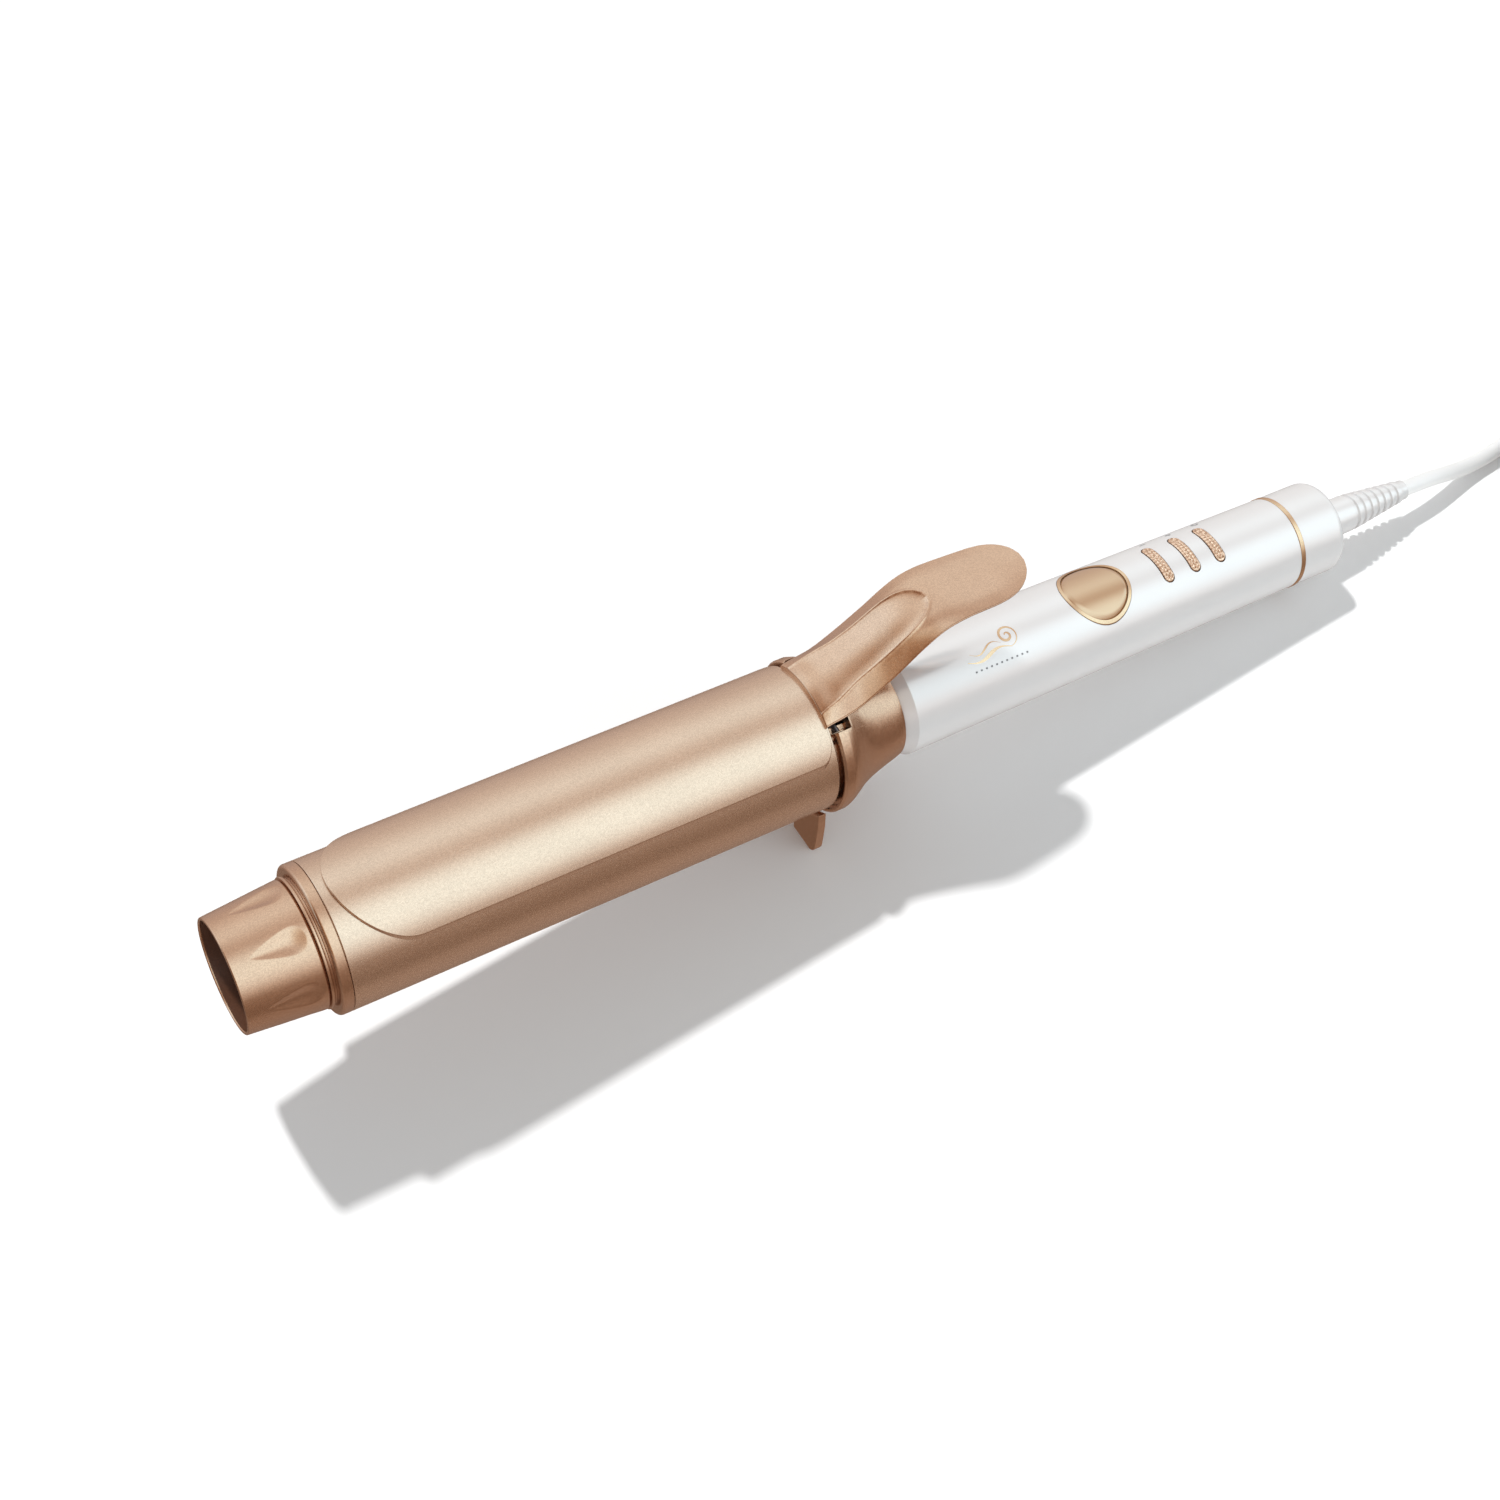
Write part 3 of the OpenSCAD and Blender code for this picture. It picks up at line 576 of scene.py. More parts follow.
def loft(sections):
    """Points and faces of a closed skin through equal sections."""
    count = len(sections[0])
    verts = [point for section in sections for point in section]
    loops = [list(range(k * count, (k + 1) * count)) for k in range(len(sections))]
    faces = [face for a, b in zip(loops, loops[1:]) for face in strip(a, b)]
    return verts, faces + [tuple(loops[0]), tuple(loops[-1])]


def merged(*parts):
    """Several (points, faces) as one."""
    verts, faces = [], []
    for part_verts, part_faces in parts:
        faces += [tuple(i + len(verts) for i in face) for face in part_faces]
        verts += part_verts
    return verts, faces


# ---------------------------------------------------------------- cord

def bezier_cord(name, points, radius):
    """A round cord as one smooth open spline through the points."""
    curve = bpy.data.curves.new(name, "CURVE")
    curve.dimensions = "3D"
    curve.bevel_depth = radius
    curve.bevel_resolution = 5
    curve.resolution_u = 6
    curve.use_fill_caps = True
    spline = curve.splines.new("BEZIER")
    spline.bezier_points.add(len(points) - 1)
    for knot, point in zip(spline.bezier_points, points):
        knot.co = point
        knot.handle_left_type = knot.handle_right_type = "AUTO"
    curve.materials.append(MATERIALS["cord_plastic"])
    return add_object(name, curve)


# Route from the boot down to the coil and from the coil to the plug, in row metres
ROUTE = [
    (0.241, 0, 0.0116), (0.246, 0, 0.0109), (0.251, 0.0001, 0.0098), (0.256, 0.0002, 0.0084),
    (0.261, 0.0004, 0.0069), (0.266, 0.0007, 0.0055), (0.271, 0.001, 0.0044),
    (0.276, 0.0014, 0.0038), (0.282, 0.0019, 0.0036), (0.288, 0.0027, 0.0036),
    (0.295, 0.004, 0.0036), (0.302, 0.0056, 0.0036), (0.309, 0.0072, 0.0036),
    (0.316, 0.0085, 0.0036)]
TAIL = [
    (0.2844, -0.02, 0.022), (0.2886, -0.011, 0.0232), (0.295, -0.0036, 0.025),
    (0.303, 0.0008, 0.0272), (0.31, 0.0023, 0.0293), (0.316, 0.0023, 0.0309),
    (0.322, 0.002, 0.0315)]
CORD_RADIUS = 0.003
COIL_WIDE = 3
COIL_HIGH = 4
COIL_TURNS = 11.75
KNOTS_PER_TURN = 20


def coil_points():
    """The coil's turns: layer on layer, each one winding in or out by a cord's width."""
    low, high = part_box("cord_coil")
    centre = (low + high) / 2
    pitch = 2 * CORD_RADIUS
    outer = (high.x - low.x) / 2 - CORD_RADIUS
    lanes = []
    for layer in range(COIL_HIGH):
        order = range(COIL_WIDE) if layer % 2 == 0 else reversed(range(COIL_WIDE))
        lanes += [(outer - lane * pitch, low.z + CORD_RADIUS + layer * pitch) for lane in order]
    points = []
    for k in range(round(COIL_TURNS * KNOTS_PER_TURN) + 1):
        turn, part = divmod(k / KNOTS_PER_TURN, 1)
        here = lanes[min(int(turn), len(lanes) - 1)]
        following = lanes[min(int(turn) + 1, len(lanes) - 1)]
        shift = min(max((part - 0.75) / 0.25, 0), 1)
        shift = shift * shift * (3 - 2 * shift)
        radius = here[0] + (following[0] - here[0]) * shift
        height = here[1] + (following[1] - here[1]) * shift
        angle = math.pi / 2 - TAU * k / KNOTS_PER_TURN
        points.append((
            centre.x + radius * math.cos(angle), centre.y + radius * math.sin(angle), height))
    return points


def add_cord():
    inside = 1.5
    start = TOOL @ Vector((boot.back - inside, 0, 0))
    cord = bezier_cord("mains_cord", [start] + ROUTE + coil_points() + TAIL, CORD_RADIUS)
    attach(cord, "root")
    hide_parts("cord", "cord_coil")


# ---------------------------------------------------------------- tool pieces

tip = reach("cool_tip")
ring = reach("front_ring")
barrel = reach("barrel_tube")
plate = reach("clamp_plate")
collar = reach("rear_collar")
sleeve = reach("handle_sleeve")
trim = reach("trim_ring")
cap = reach("end_cap")
bezel = reach("display_bezel")
boot = reach("cord_boot")

DIMPLE_COUNT = 7
DIMPLE_TURN = math.radians(26.5)
DIMPLE_FRONT = 6.3
DIMPLE_BACK = 24.2
DIMPLE_HALF_W = 6.1
DIMPLE_DEPTH = 1.35


def smooth(t):
    t = min(max(t, 0), 1)
    return t * t * (3 - 2 * t)


def dimple(u, r, angle):
    """Radius of the tip's wall with its finger dimples: drops, blunt towards the barrel."""
    along = (u - DIMPLE_FRONT) / (DIMPLE_BACK - DIMPLE_FRONT)
    if r < tip.radius - 2.6 or not 0 < along < 1:
        return r
    pitch = TAU / DIMPLE_COUNT
    offset = (angle - DIMPLE_TURN + pitch / 2) % pitch - pitch / 2
    width = DIMPLE_HALF_W * along ** 0.75 * math.sqrt(1 - along ** 7)
    side = abs(offset) * r / width
    if side >= 1:
        return r
    fall = along / 0.72
    climb = (1 - along) / 0.28
    depth = (fall ** -3 + climb ** -3) ** (-1 / 3)
    return r - DIMPLE_DEPTH * depth * (1 - side ** 2) ** 1.4


def add_cool_tip():
    wall = 1.2
    floor = 15.5
    rim_r = 19.3
    fine = [
        (u, rim_r + (tip.radius - rim_r) * u / (tip.back - 1.6))
        for u in np.arange(DIMPLE_FRONT - 1, DIMPLE_BACK + 1, 0.25)]
    outline = rounded(
        [(floor, 1.8), (floor, rim_r - wall - 0.4, 1.2), (0.5, rim_r - wall), (0, rim_r - 0.9, 0.2),
            (0, rim_r, 0.45)] + fine + [
            (tip.back - 0.7, tip.radius, 0.9), (tip.back, tip.radius - 0.7, 0.5),
            (tip.back, 19.2), (floor + 2.5, 19), (floor + 2.5, 1.8)])
    piece = lathe("cool_tip_shell", outline, "rose_gold_plastic", 420, dimple)
    settle(piece, "rose_gold_plastic", "root", "cool_tip", sharp=50)
    # A thin near-black sheet over the inside of the bore and over the floor: painted shade. The real inside is the
    # tip's own paint in shadow.
    bore = rim_r - wall
    shade_sheet = lathe("tip_lining", [
        (0.7, bore + 0.01), (0.7, bore - 0.03), (floor - 0.05, bore - 0.45), (floor - 0.05, 2),
        (floor - 0.02, 2), (floor - 0.02, bore - 0.4)], "rose_gold_plastic", 256)
    shade_sheet.data.materials[0] = MATERIALS["tip_lining_paint"]
    settle(shade_sheet, "rose_gold_plastic", "root")


def add_front_ring():
    """The stepped ring: a bright lip beside the tip, a groove and the rounded flange."""
    lip_r = tip.radius + 0.5
    groove_r = tip.radius - 0.6
    flange = tip.back + 2
    outline = rounded([
        (tip.back, 17), (tip.back, lip_r, 0.3), (tip.back + 1.05, lip_r, 0.3),
        (tip.back + 1.15, groove_r, 0.15), (flange, groove_r, 0.15),
        (flange, ring.radius, 1.3), (barrel.front - 0.18, ring.radius, 0.2),
        (barrel.front - 0.18, ring.radius - 1.1), (ring.back, ring.radius - 1.4, 0.3),
        (ring.back, ring.radius - 3.2), (30.5, ring.radius - 3.2), (30.5, 17)])
    add_turned("front_ring_shell", outline, "rose_gold_plastic", "front_ring", 256)


def add_barrel():
    outline = rounded([
        (barrel.front, barrel.inner), (barrel.front, barrel.radius, 0.35),
        (barrel.back, barrel.radius, 0.35), (barrel.back, barrel.inner)])
    add_turned("barrel_shell", outline, "rose_gold_coating", "barrel_tube", 256)


# A slab is a sheet with round edges: rows of points across it, placed on a curved surface.

def slab(rows_at, place, loops, cross):
    """Points and faces of a slab. rows_at(inset) gives (station, half width) rows, place(a, b,
    drop) puts a point on the surface, and loops are the edge's (inset, drop) from top to bottom."""
    verts, faces = [], []

    def grid(inset, drop):
        start = len(verts)
        for a, half in rows_at(inset):
            verts.extend(place(a, half * (2 * k / cross - 1), drop) for k in range(cross + 1))
        return start

    rows = len(rows_at(0))
    wide = cross + 1
    edge = list(range(wide))
    edge += [i * wide + cross for i in range(1, rows)]
    edge += [(rows - 1) * wide + k for k in range(cross - 1, -1, -1)]
    edge += [i * wide for i in range(rows - 2, 0, -1)]
    top = grid(*loops[0])
    previous = [top + k for k in edge]
    for inset, drop in loops[1:-1]:
        outline = rows_at(inset)
        start = len(verts)
        for k in edge:
            a, half = outline[k // wide]
            verts.append(place(a, half * (2 * (k % wide) / cross - 1), drop))
        current = list(range(start, len(verts)))
        faces += strip(previous, current)
        previous = current
    bottom = grid(*loops[-1])
    faces += strip(previous, [bottom + k for k in edge])
    for start in (top, bottom):
        for i in range(rows - 1):
            for k in range(cross):
                a = start + i * wide + k
                faces.append((a, a + 1, a + wide + 1, a + wide))
    return verts, faces


def edge_loops(radius, depth, steps=4):
    """Loops of a slab's edge: a round top edge, a wall and a round bottom edge."""
    turn = [math.pi / 2 * k / steps for k in range(steps + 1)]
    top = [(radius * (1 - math.sin(t)), radius * (1 - math.cos(t))) for t in turn]
    return top + [(inset, depth - drop) for inset, drop in reversed(top)]


PLATE_T = 1.1
PLATE_REAR = barrel.back - 1.4
PLATE_CORNER = 5


def plate_rows(inset):
    """Rows of the clamp plate from its round nose to its rounded rear corners."""
    half = plate.half_w - inset
    nose = plate.front + plate.half_w
    corner = PLATE_CORNER - inset
    rows = [(nose - half * math.cos(t), half * math.sin(t)) for t in np.linspace(0, TAU / 4, 49)]
    rows += [(a, half) for a in np.linspace(nose, PLATE_REAR - PLATE_CORNER, 60)[1:]]
    for t in np.linspace(0, TAU / 4, 10)[1:]:
        rows.append((
            PLATE_REAR - PLATE_CORNER + corner * math.sin(t),
            plate.half_w - PLATE_CORNER + corner * math.cos(t)))
    return rows


def on_plate(a, b, drop):
    r = plate.radius - drop
    return (a, b, math.sqrt(r * r - b * b))


TONGUE_HALF_ANGLE = math.radians(24)
TONGUE_INSET = 0.02


def plate_tongue():
    half = plate.radius * math.sin(TONGUE_HALF_ANGLE)
    front = PLATE_REAR - 0.4

    def rows_at(inset):
        return [(a, half - inset) for a in np.linspace(front, plate.back - inset, 8)]

    def place(a, b, drop):
        return on_plate(a, b, drop + TONGUE_INSET)

    return slab(rows_at, place, edge_loops(0.2, PLATE_T - 2 * TONGUE_INSET), 24)


EAR_INNER = 8.2
EAR_T = 1.2
EAR_R = 3
EAR_TOP = 23.5


def plate_ears():
    """Two near-black ears that hold the clamp on the hinge pin."""
    pivot = on_tool("clamp_hinge")
    outline = [(pivot.x - EAR_R, EAR_TOP), (pivot.x - EAR_R, pivot.z)]
    outline += [
        (pivot.x - EAR_R * math.cos(t), pivot.z - EAR_R * math.sin(t))
        for t in np.linspace(0, TAU / 2, 17)[1:]]
    outline += [(pivot.x + EAR_R, EAR_TOP)]
    return merged(*(
        loft([[(x, side * y, z) for x, z in outline] for y in (EAR_INNER, EAR_INNER + EAR_T)])
        for side in (-1, 1)))


def add_clamp_plate():
    body = slab(plate_rows, on_plate, edge_loops(0.18, PLATE_T), 56)
    add_piece(
        "clamp_plate_shell", merged(body, plate_tongue()), "rose_gold_coating", "clamp",
        "clamp_plate")
    add_piece("clamp_ears", plate_ears(), "dark_plastic", "clamp")


# The lever's stations: [x, panel height, panel half width, edge height, edge half width,
# crown of the panel, depth of its recess, underside height, drop of the underside's sides]
LEVER = np.array([
    (202.6, 24.7, 10.9, 22.3, 14.6, 2.2, 0.1, 26.6, 3.4),
    (203.6, 25.7, 10.9, 22.5, 14.6, 2.2, 0.15, 26.6, 3.2),
    (204.8, 26.4, 10.9, 22.9, 14.6, 2.2, 0.25, 26.65, 2.8),
    (206.4, 27.4, 10.8, 23.4, 14.6, 2.1, 0.4, 26.65, 2.6),
    (210, 29.2, 10.6, 24.1, 14.6, 1.7, 0.65, 26.8, 2.4),
    (214, 31.6, 10, 25.2, 14.5, 1.2, 0.6, 28.8, 3.4),
    (218, 33.9, 9.2, 27.1, 14.5, 1.2, 0.65, 31.2, 3.9),
    (222, 36.3, 8.9, 29.8, 14.4, 1.2, 0.7, 33.3, 3.4),
    (226, 38.9, 8.7, 32.7, 14.3, 1.2, 0.75, 35.7, 2.9),
    (230, 41.9, 8.6, 35.8, 14.2, 1.1, 0.75, 38.6, 2.6),
    (234, 45, 8.5, 39.2, 14, 1.0, 0.75, 41.7, 2.3),
    (238, 47.5, 8.6, 42.8, 13.9, 0.9, 0.7, 44.3, 1.2),
    (242, 49.4, 8.8, 45.9, 13.8, 0.6, 0.6, 46.9, 0.9),
    (246, 51, 8.9, 48.2, 13.6, 0.1, 0.7, 49, 0.8),
    (250, 51.9, 8.9, 49.4, 13.4, 0.1, 0, 50.2, 0.6),
    (256, 52.1, 8.9, 50, 13.1, 0, 0, 50.3, 0.2),
    (262, 51.9, 8.8, 50, 12.9, -0.2, 0, 49.9, 0),
    (268, 51.8, 8.6, 49.9, 12.7, -0.2, 0, 49.7, 0),
    (273, 51.8, 8.2, 50.1, 12.2, -0.1, 0, 49.8, 0),
    (277, 52.1, 7.4, 50.5, 11.1, 0, 0, 50.1, 0),
    (280, 52.5, 6.2, 51, 9.4, 0, 0, 50.6, 0),
    (282.5, 52.8, 4.4, 51.5, 7, 0, 0, 51.1, 0),
    (284.2, 53, 2.6, 51.9, 4.2, 0, 0, 51.6, 0),
    (285, 53.1, 1, 52.2, 1.6, 0, 0, 52, 0)])
# Half width of the raised border line where it closes round the end of the panel
BORDER_END = [
    (232, 8.55), (236, 8.3), (240, 7.5), (243, 6.3), (245.6, 4.3), (247.2, 2.2), (247.9, 0)]
LEVER_SIDE = 0.9
LEVER_SKIRT = 1.8
LEVER_FRONT = 204.2
LEVER_LIP = 0.35


def lever_row(u):
    """The lever's sizes at a station, on a smooth curve through its table."""
    x = LEVER[:, 0]
    i = int(np.clip(np.searchsorted(x, u) - 1, 0, len(x) - 2))
    slope = np.gradient(LEVER[:, 1:], x, axis=0)
    width = x[i + 1] - x[i]
    t = (u - x[i]) / width
    return (
        (1 + 2 * t) * (1 - t) ** 2 * LEVER[i, 1:] + t * (1 - t) ** 2 * width * slope[i]
        + t * t * (3 - 2 * t) * LEVER[i + 1, 1:] - t * t * (1 - t) * width * slope[i + 1])


def border_line():
    """Points of the border line on the panel, in plan."""
    line = [(u, lever_row(u)[1]) for u in np.arange(LEVER[0, 0], BORDER_END[0][0], 0.4)]
    for (u0, w0), (u1, w1) in zip(BORDER_END, BORDER_END[1:]):
        line += [(u0 + (u1 - u0) * t, w0 + (w1 - w0) * t) for t in np.linspace(0, 1, 12)[:-1]]
    line.append(BORDER_END[-1])
    side = np.array(line)
    return np.concatenate([side, side[::-1] * (1, -1)])


def lever_section(u, steps=96):
    """A closed section of the lever: recessed panel, flanks, edges and underside."""
    height, panel_w, edge_z, edge_w, crown, recess, under, drop = lever_row(u)
    edge_top = edge_z + LEVER_SIDE
    skirt = min(LEVER_SKIRT, edge_w / 3)
    flank = math.hypot(edge_w - panel_w, height - edge_top)
    top = []
    for k in range(steps + 1):
        s = (2 * k / steps - 1) * (panel_w + flank)
        side = math.copysign(1, s)
        past = max(abs(s) - panel_w, 0) / flank
        y = min(abs(s), panel_w) + past * (edge_w - panel_w)
        level = height + crown * (1 - min(y / panel_w, 1) ** 2)
        fall = height + (edge_top - height) * (y - panel_w) / (edge_w - panel_w)
        z = -0.45 * math.log(math.exp(-(level - height) / 0.45)
            + math.exp(-(fall - height) / 0.45)) + height
        gap = np.hypot(BORDER[:, 0] - u, BORDER[:, 1] - side * y).min()
        inside = u < BORDER_U.max() and y < np.interp(u, BORDER_U, BORDER_W)
        if inside:
            z -= recess * (1 - math.exp(-(gap / 1.7) ** 1.4))
        z += 0.3 * math.exp(-(gap / 0.45) ** 2)
        top.append((y * side, z))
    soft = 0.35
    edge = rounded([
        (edge_w, edge_top, soft), (edge_w, edge_z, soft), (edge_w - skirt, edge_z, 0.3)], 3)
    inner = edge_w - skirt - 0.6
    below = [(inner * t, under - drop * t * t) for t in np.linspace(1, -1, 25)]
    other = [(-y, z) for y, z in reversed(edge)]
    return [(u, y, z) for y, z in top[1:-1] + edge + below + other]


BORDER = border_line()
BORDER_SIDE = BORDER[:len(BORDER) // 2]
BORDER_U, BORDER_W = BORDER_SIDE[:, 0], BORDER_SIDE[:, 1]


def add_thumb_lever():
    back = LEVER[-1, 0]
    lip = [
        [(u, y, z - LEVER_LIP * (1 - math.sin(t))) for u, y, z in lever_section(
            LEVER_FRONT + LEVER_LIP * (1 - math.cos(t)))]
        for t in np.linspace(0, TAU / 4, 6)]
    stations = list(np.arange(LEVER_FRONT + 0.8, 276, 0.5))
    stations += [back - (back - 276) * math.cos(t) for t in np.linspace(0, TAU / 4, 22)]
    shape = loft(lip + [lever_section(u) for u in stations])
    add_piece("thumb_lever_shell", shape, "rose_gold_plastic", "clamp", "thumb_lever", sharp=60)


# Pieces that keep the CAD shape and get soft edges

def soft_copy(name, node, slot, body, edge_mm, sharp=35):
    """A copy of a CAD node with its flat faces joined up and its sharp edges rounded."""
    mesh = nodes[node].data.copy()
    mesh.name = name
    work = bmesh.new()
    work.from_mesh(mesh)
    bmesh.ops.remove_doubles(work, verts=work.verts, dist=1e-6)
    bmesh.ops.dissolve_limit(
        work, angle_limit=math.radians(0.8), verts=work.verts, edges=work.edges)
    work.to_mesh(mesh)
    work.free()
    if mesh.has_custom_normals:
        mesh.attributes.remove(mesh.attributes["custom_normal"])
    piece = add_object(name, mesh)
    mesh.materials.clear()
    mesh.materials.append(MATERIALS[slot])
    mesh.shade_smooth()
    edge = piece.modifiers.new("edge", "BEVEL")
    edge.width = edge_mm * MM
    edge.segments = 3
    edge.limit_method = "ANGLE"
    edge.angle_limit = math.radians(sharp)
    settle(piece, slot, body, node, sharp=60)
    return piece


# The opening in the collar's flange under the lever: its corner angle, stations and depth
WINDOW_FROM = math.radians(36)
WINDOW_TO = math.radians(44.5)
WINDOW_U = (collar.front - 1, collar.front + 5.4)
WINDOW_R = (collar.radius - 3.4, collar.radius + 1)


def add_collar():
    """The collar, with its opening carried round to where the photograph shows it."""
    piece = soft_copy("collar_shell", "rear_collar", "rose_gold_plastic", "root", 0.3)
    for way in (-1, 1):
        ring_corners = [
            (r, way * angle) for r, angle in (
                (WINDOW_R[0], WINDOW_FROM), (WINDOW_R[1], WINDOW_FROM),
                (WINDOW_R[1], WINDOW_TO), (WINDOW_R[0], WINDOW_TO))]
        cut(piece, *loft([[around(u, r, angle) for r, angle in ring_corners] for u in WINDOW_U]))
    piece.data.set_sharp_from_angle(angle=math.radians(40))


# ---------------------------------------------------------------- handle

def grip_r(u):
    """Radius of the handle at a station, from its two ends in the frame."""
    wide, narrow = sleeve.radius, trim.radius - 0.2
    return wide + (narrow - wide) * (u - 245) / (sleeve.back - 245)


def on_grip(x, y, height):
    """A point above or below the handle's surface, seen from the lever side."""
    r = grip_r(x) + height
    return (x, y, math.sqrt(r * r - y * y))


def disc_piece(name, middle, section, slot, node, steps=144):
    """A piece turned about a square line through the handle's axis, on the handle's surface.
    The section's points are (distance, height above the surface)."""
    verts = []
    for k in range(steps):
        turn = TAU * k / steps
        verts += [
            on_grip(middle + out * math.cos(turn), out * math.sin(turn), height)
            for out, height in section]
    add_piece(name, (verts, ring_faces(steps, len(section))), slot, "root", node)


def bake(piece):
    """Replaces a piece's mesh by the result of its modifiers."""
    bpy.context.view_layer.update()
    result = piece.evaluated_get(bpy.context.evaluated_depsgraph_get())
    piece.data = bpy.data.meshes.new_from_object(result)
    piece.modifiers.clear()


def cut(piece, verts, faces):
    cutter = new_piece("cutter", verts, faces, "dark_plastic")
    knife = piece.modifiers.new("cut", "BOOLEAN")
    knife.operation = "DIFFERENCE"
    knife.solver = "EXACT"
    knife.object = cutter
    bake(piece)
    bpy.data.objects.remove(cutter)


def turned_normals(piece):
    """Exact normals on the surfaces that are turned about the tool's axis."""
    mesh = piece.data
    along = TOOL.to_3x3() @ Vector((1, 0, 0))
    along.normalize()
    start = TOOL @ Vector((0, 0, 0))
    normals = []
    for face in mesh.polygons:
        lean = face.normal.dot(along)
        for k in face.vertices:
            arm = mesh.vertices[k].co - start
            arm = (arm - along * arm.dot(along)).normalized()
            side = face.normal.dot(arm)
            turned = abs(side) > 0.9 * math.sqrt(max(1 - lean * lean, 0)) and abs(lean) < 0.9
            if turned:
                flat = math.sqrt(1 - lean * lean)
                normals.append(along * lean + arm * math.copysign(flat, side))
            else:
                normals.append(face.normal.copy())
    mesh.shade_smooth()
    mesh.normals_split_custom_set(normals)


BUTTONS = {"minus_button": "minus", "plus_button": "plus", "power_button": "power"}
BUTTON_GAP = 0.3


def stadium_rows(half_long, half_wide, count=18):
    """Rows of a slot shape with round ends."""
    straight = half_long - half_wide
    turns = np.linspace(0, TAU / 4, count)
    rows = [(-straight - half_wide * math.cos(t), half_wide * math.sin(t)) for t in turns]
    rows += [(a, half_wide) for a in np.linspace(-straight, straight, 80)[1:-1]]
    rows += [(straight + half_wide * math.sin(t), half_wide * math.cos(t)) for t in turns]
    return rows


def button_middle(node):
    points = tool_points(node)
    return (points[:, 0].min() + points[:, 0].max()) / 2


def add_sleeve():
    front = 16.9
    outline = rounded([
        (sleeve.front, sleeve.inner), (sleeve.front, front, 0.5),
        (sleeve.front + 4.2, grip_r(sleeve.front + 4.2), 0.6),
        (sleeve.back, grip_r(sleeve.back), 0.15), (sleeve.back, sleeve.inner)], 8)
    piece = lathe("handle_shell", outline, "pearl_plastic", 200)
    middle = (bezel.front + bezel.back) / 2
    hole = (bezel.back - bezel.front) / 2 + 0.1
    round_cut = [
        (middle + hole * math.cos(t), hole * math.sin(t)) for t in np.linspace(0, TAU, 97)[:-1]]
    cut(piece, *column(round_cut))
    for node in BUTTONS:
        size = reach(node)
        half = (size.back - size.front) / 2 + BUTTON_GAP
        rows = stadium_rows(size.half_w + BUTTON_GAP, half, 12)
        x = button_middle(node)
        outline = [(x + b, a) for a, b in rows] + [(x - b, a) for a, b in reversed(rows)]
        cut(piece, *column(outline[:-1] if outline[-1] == outline[0] else outline))
    turned_normals(piece)
    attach(piece, "root")
    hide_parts("handle_sleeve")


def column(outline, low=5, high=30):
    """An upright column with an outline given from above."""
    clean = [p for i, p in enumerate(outline) if math.dist(p, outline[i - 1]) > 1e-5]
    return loft([[(x, y, z) for x, y in clean] for z in (low, high)])


def knurl(x, y):
    """Height of the diamond pattern on the buttons."""
    pitch = 1.6
    height = 0.9
    flat = 0.34
    a = abs(((x + y) / pitch) % 1 - 0.5)
    b = abs(((x - y) / pitch) % 1 - 0.5)
    return height * (min(0.5 - a, flat) + min(0.5 - b, flat) - 0.4)


def add_button(node):
    size = reach(node)
    middle = button_middle(node)
    half_wide = (size.back - size.front) / 2
    rim = 0.5
    proud = 0.35

    def place(a, b, drop):
        height = proud - drop
        clear = min(half_wide - abs(b), size.half_w - abs(a))
        if drop == 0 and clear > rim:
            height += knurl(b, a) * min((clear - rim) / 0.3, 1)
        return on_grip(middle + b, a, height)

    def rows_at(inset):
        return stadium_rows(size.half_w - inset, half_wide - inset)

    verts, faces = slab(rows_at, place, edge_loops(0.25, 3.2), 26)
    piece = new_piece(BUTTONS[node] + "_key", verts, faces, "gold_plating")
    # The key's face takes the paint with painted facet shade
    piece.data.materials[0] = MATERIALS["knurled_gold"]
    settle(piece, "gold_plating", node, node)


def add_display():
    middle = (bezel.front + bezel.back) / 2
    outer = (bezel.back - bezel.front) / 2
    inner = outer - 1.2
    ring_section = rounded([
        (inner, -2), (inner, 0.22, 0.08), (outer, 0.22, 0.12), (outer, -2)], 4)
    disc_piece("display_frame", middle, ring_section, "gold_plating", "display_bezel")
    glass_r = inner - 0.14
    face = [(glass_r * k / 12, 0.24 + 0.15 * (1 - (k / 12) ** 2)) for k in range(12)]
    glass = face + rounded([(glass_r, 0.24, 0.05), (glass_r, -2.6), (glass_r - 0.5, -2.6)], 4)
    disc_piece("display_glass", middle, glass + [(0, -2.6)], "lens_plastic", "display_lens")


def add_trim_ring():
    outline = rounded([
        (trim.front, trim.inner), (trim.front, trim.radius, 0.25), (trim.back, trim.radius, 0.25),
        (trim.back, trim.inner)], 4)
    add_turned("gold_ring", outline, "gold_plating", "trim_ring", 200)


def add_end_cap():
    hole = 7.25
    outline = rounded([
        (cap.front, 15), (cap.front, cap.radius, 0.15), (cap.back, cap.radius, 3.5),
        (cap.back, hole, 0.4), (cap.back - 4, hole), (cap.back - 4, 10.4), (421, 10.4), (421, 15)], 10)
    add_turned("end_cap_shell", outline, "pearl_plastic", "end_cap", 200)


def add_boot():
    """Strain relief: a plain neck, then ribs that taper to the cord."""
    neck_end = boot.front + 13.6
    pitch = 3.5
    rings = 7
    end_r = 3.7
    outline = [(boot.front, 3.1), (boot.front, boot.radius, 0.4), (neck_end, boot.radius, 0.4)]
    for k in range(rings):
        x = neck_end + k * pitch
        r = boot.radius + (end_r - boot.radius) * (x - neck_end) / 28
        outline += [(x + 0.4, r - 0.8, 0.3), (x + 1.3, r - 0.8, 0.3), (x + 1.6, r - 0.05, 0.4)]
        outline += [(x + pitch, r - 0.25, 0.4)]
    outline += [(boot.back - 2, end_r), (boot.back, end_r, 0.5), (boot.back, 3.1)]
    add_turned("strain_relief", rounded(outline, 3), "pearl_plastic", "cord_boot", 96, "swivel")


# Foil marks printed on the handle. A stroke is a list of (station, arc length, half width).

FOIL_LIFT = 0.025


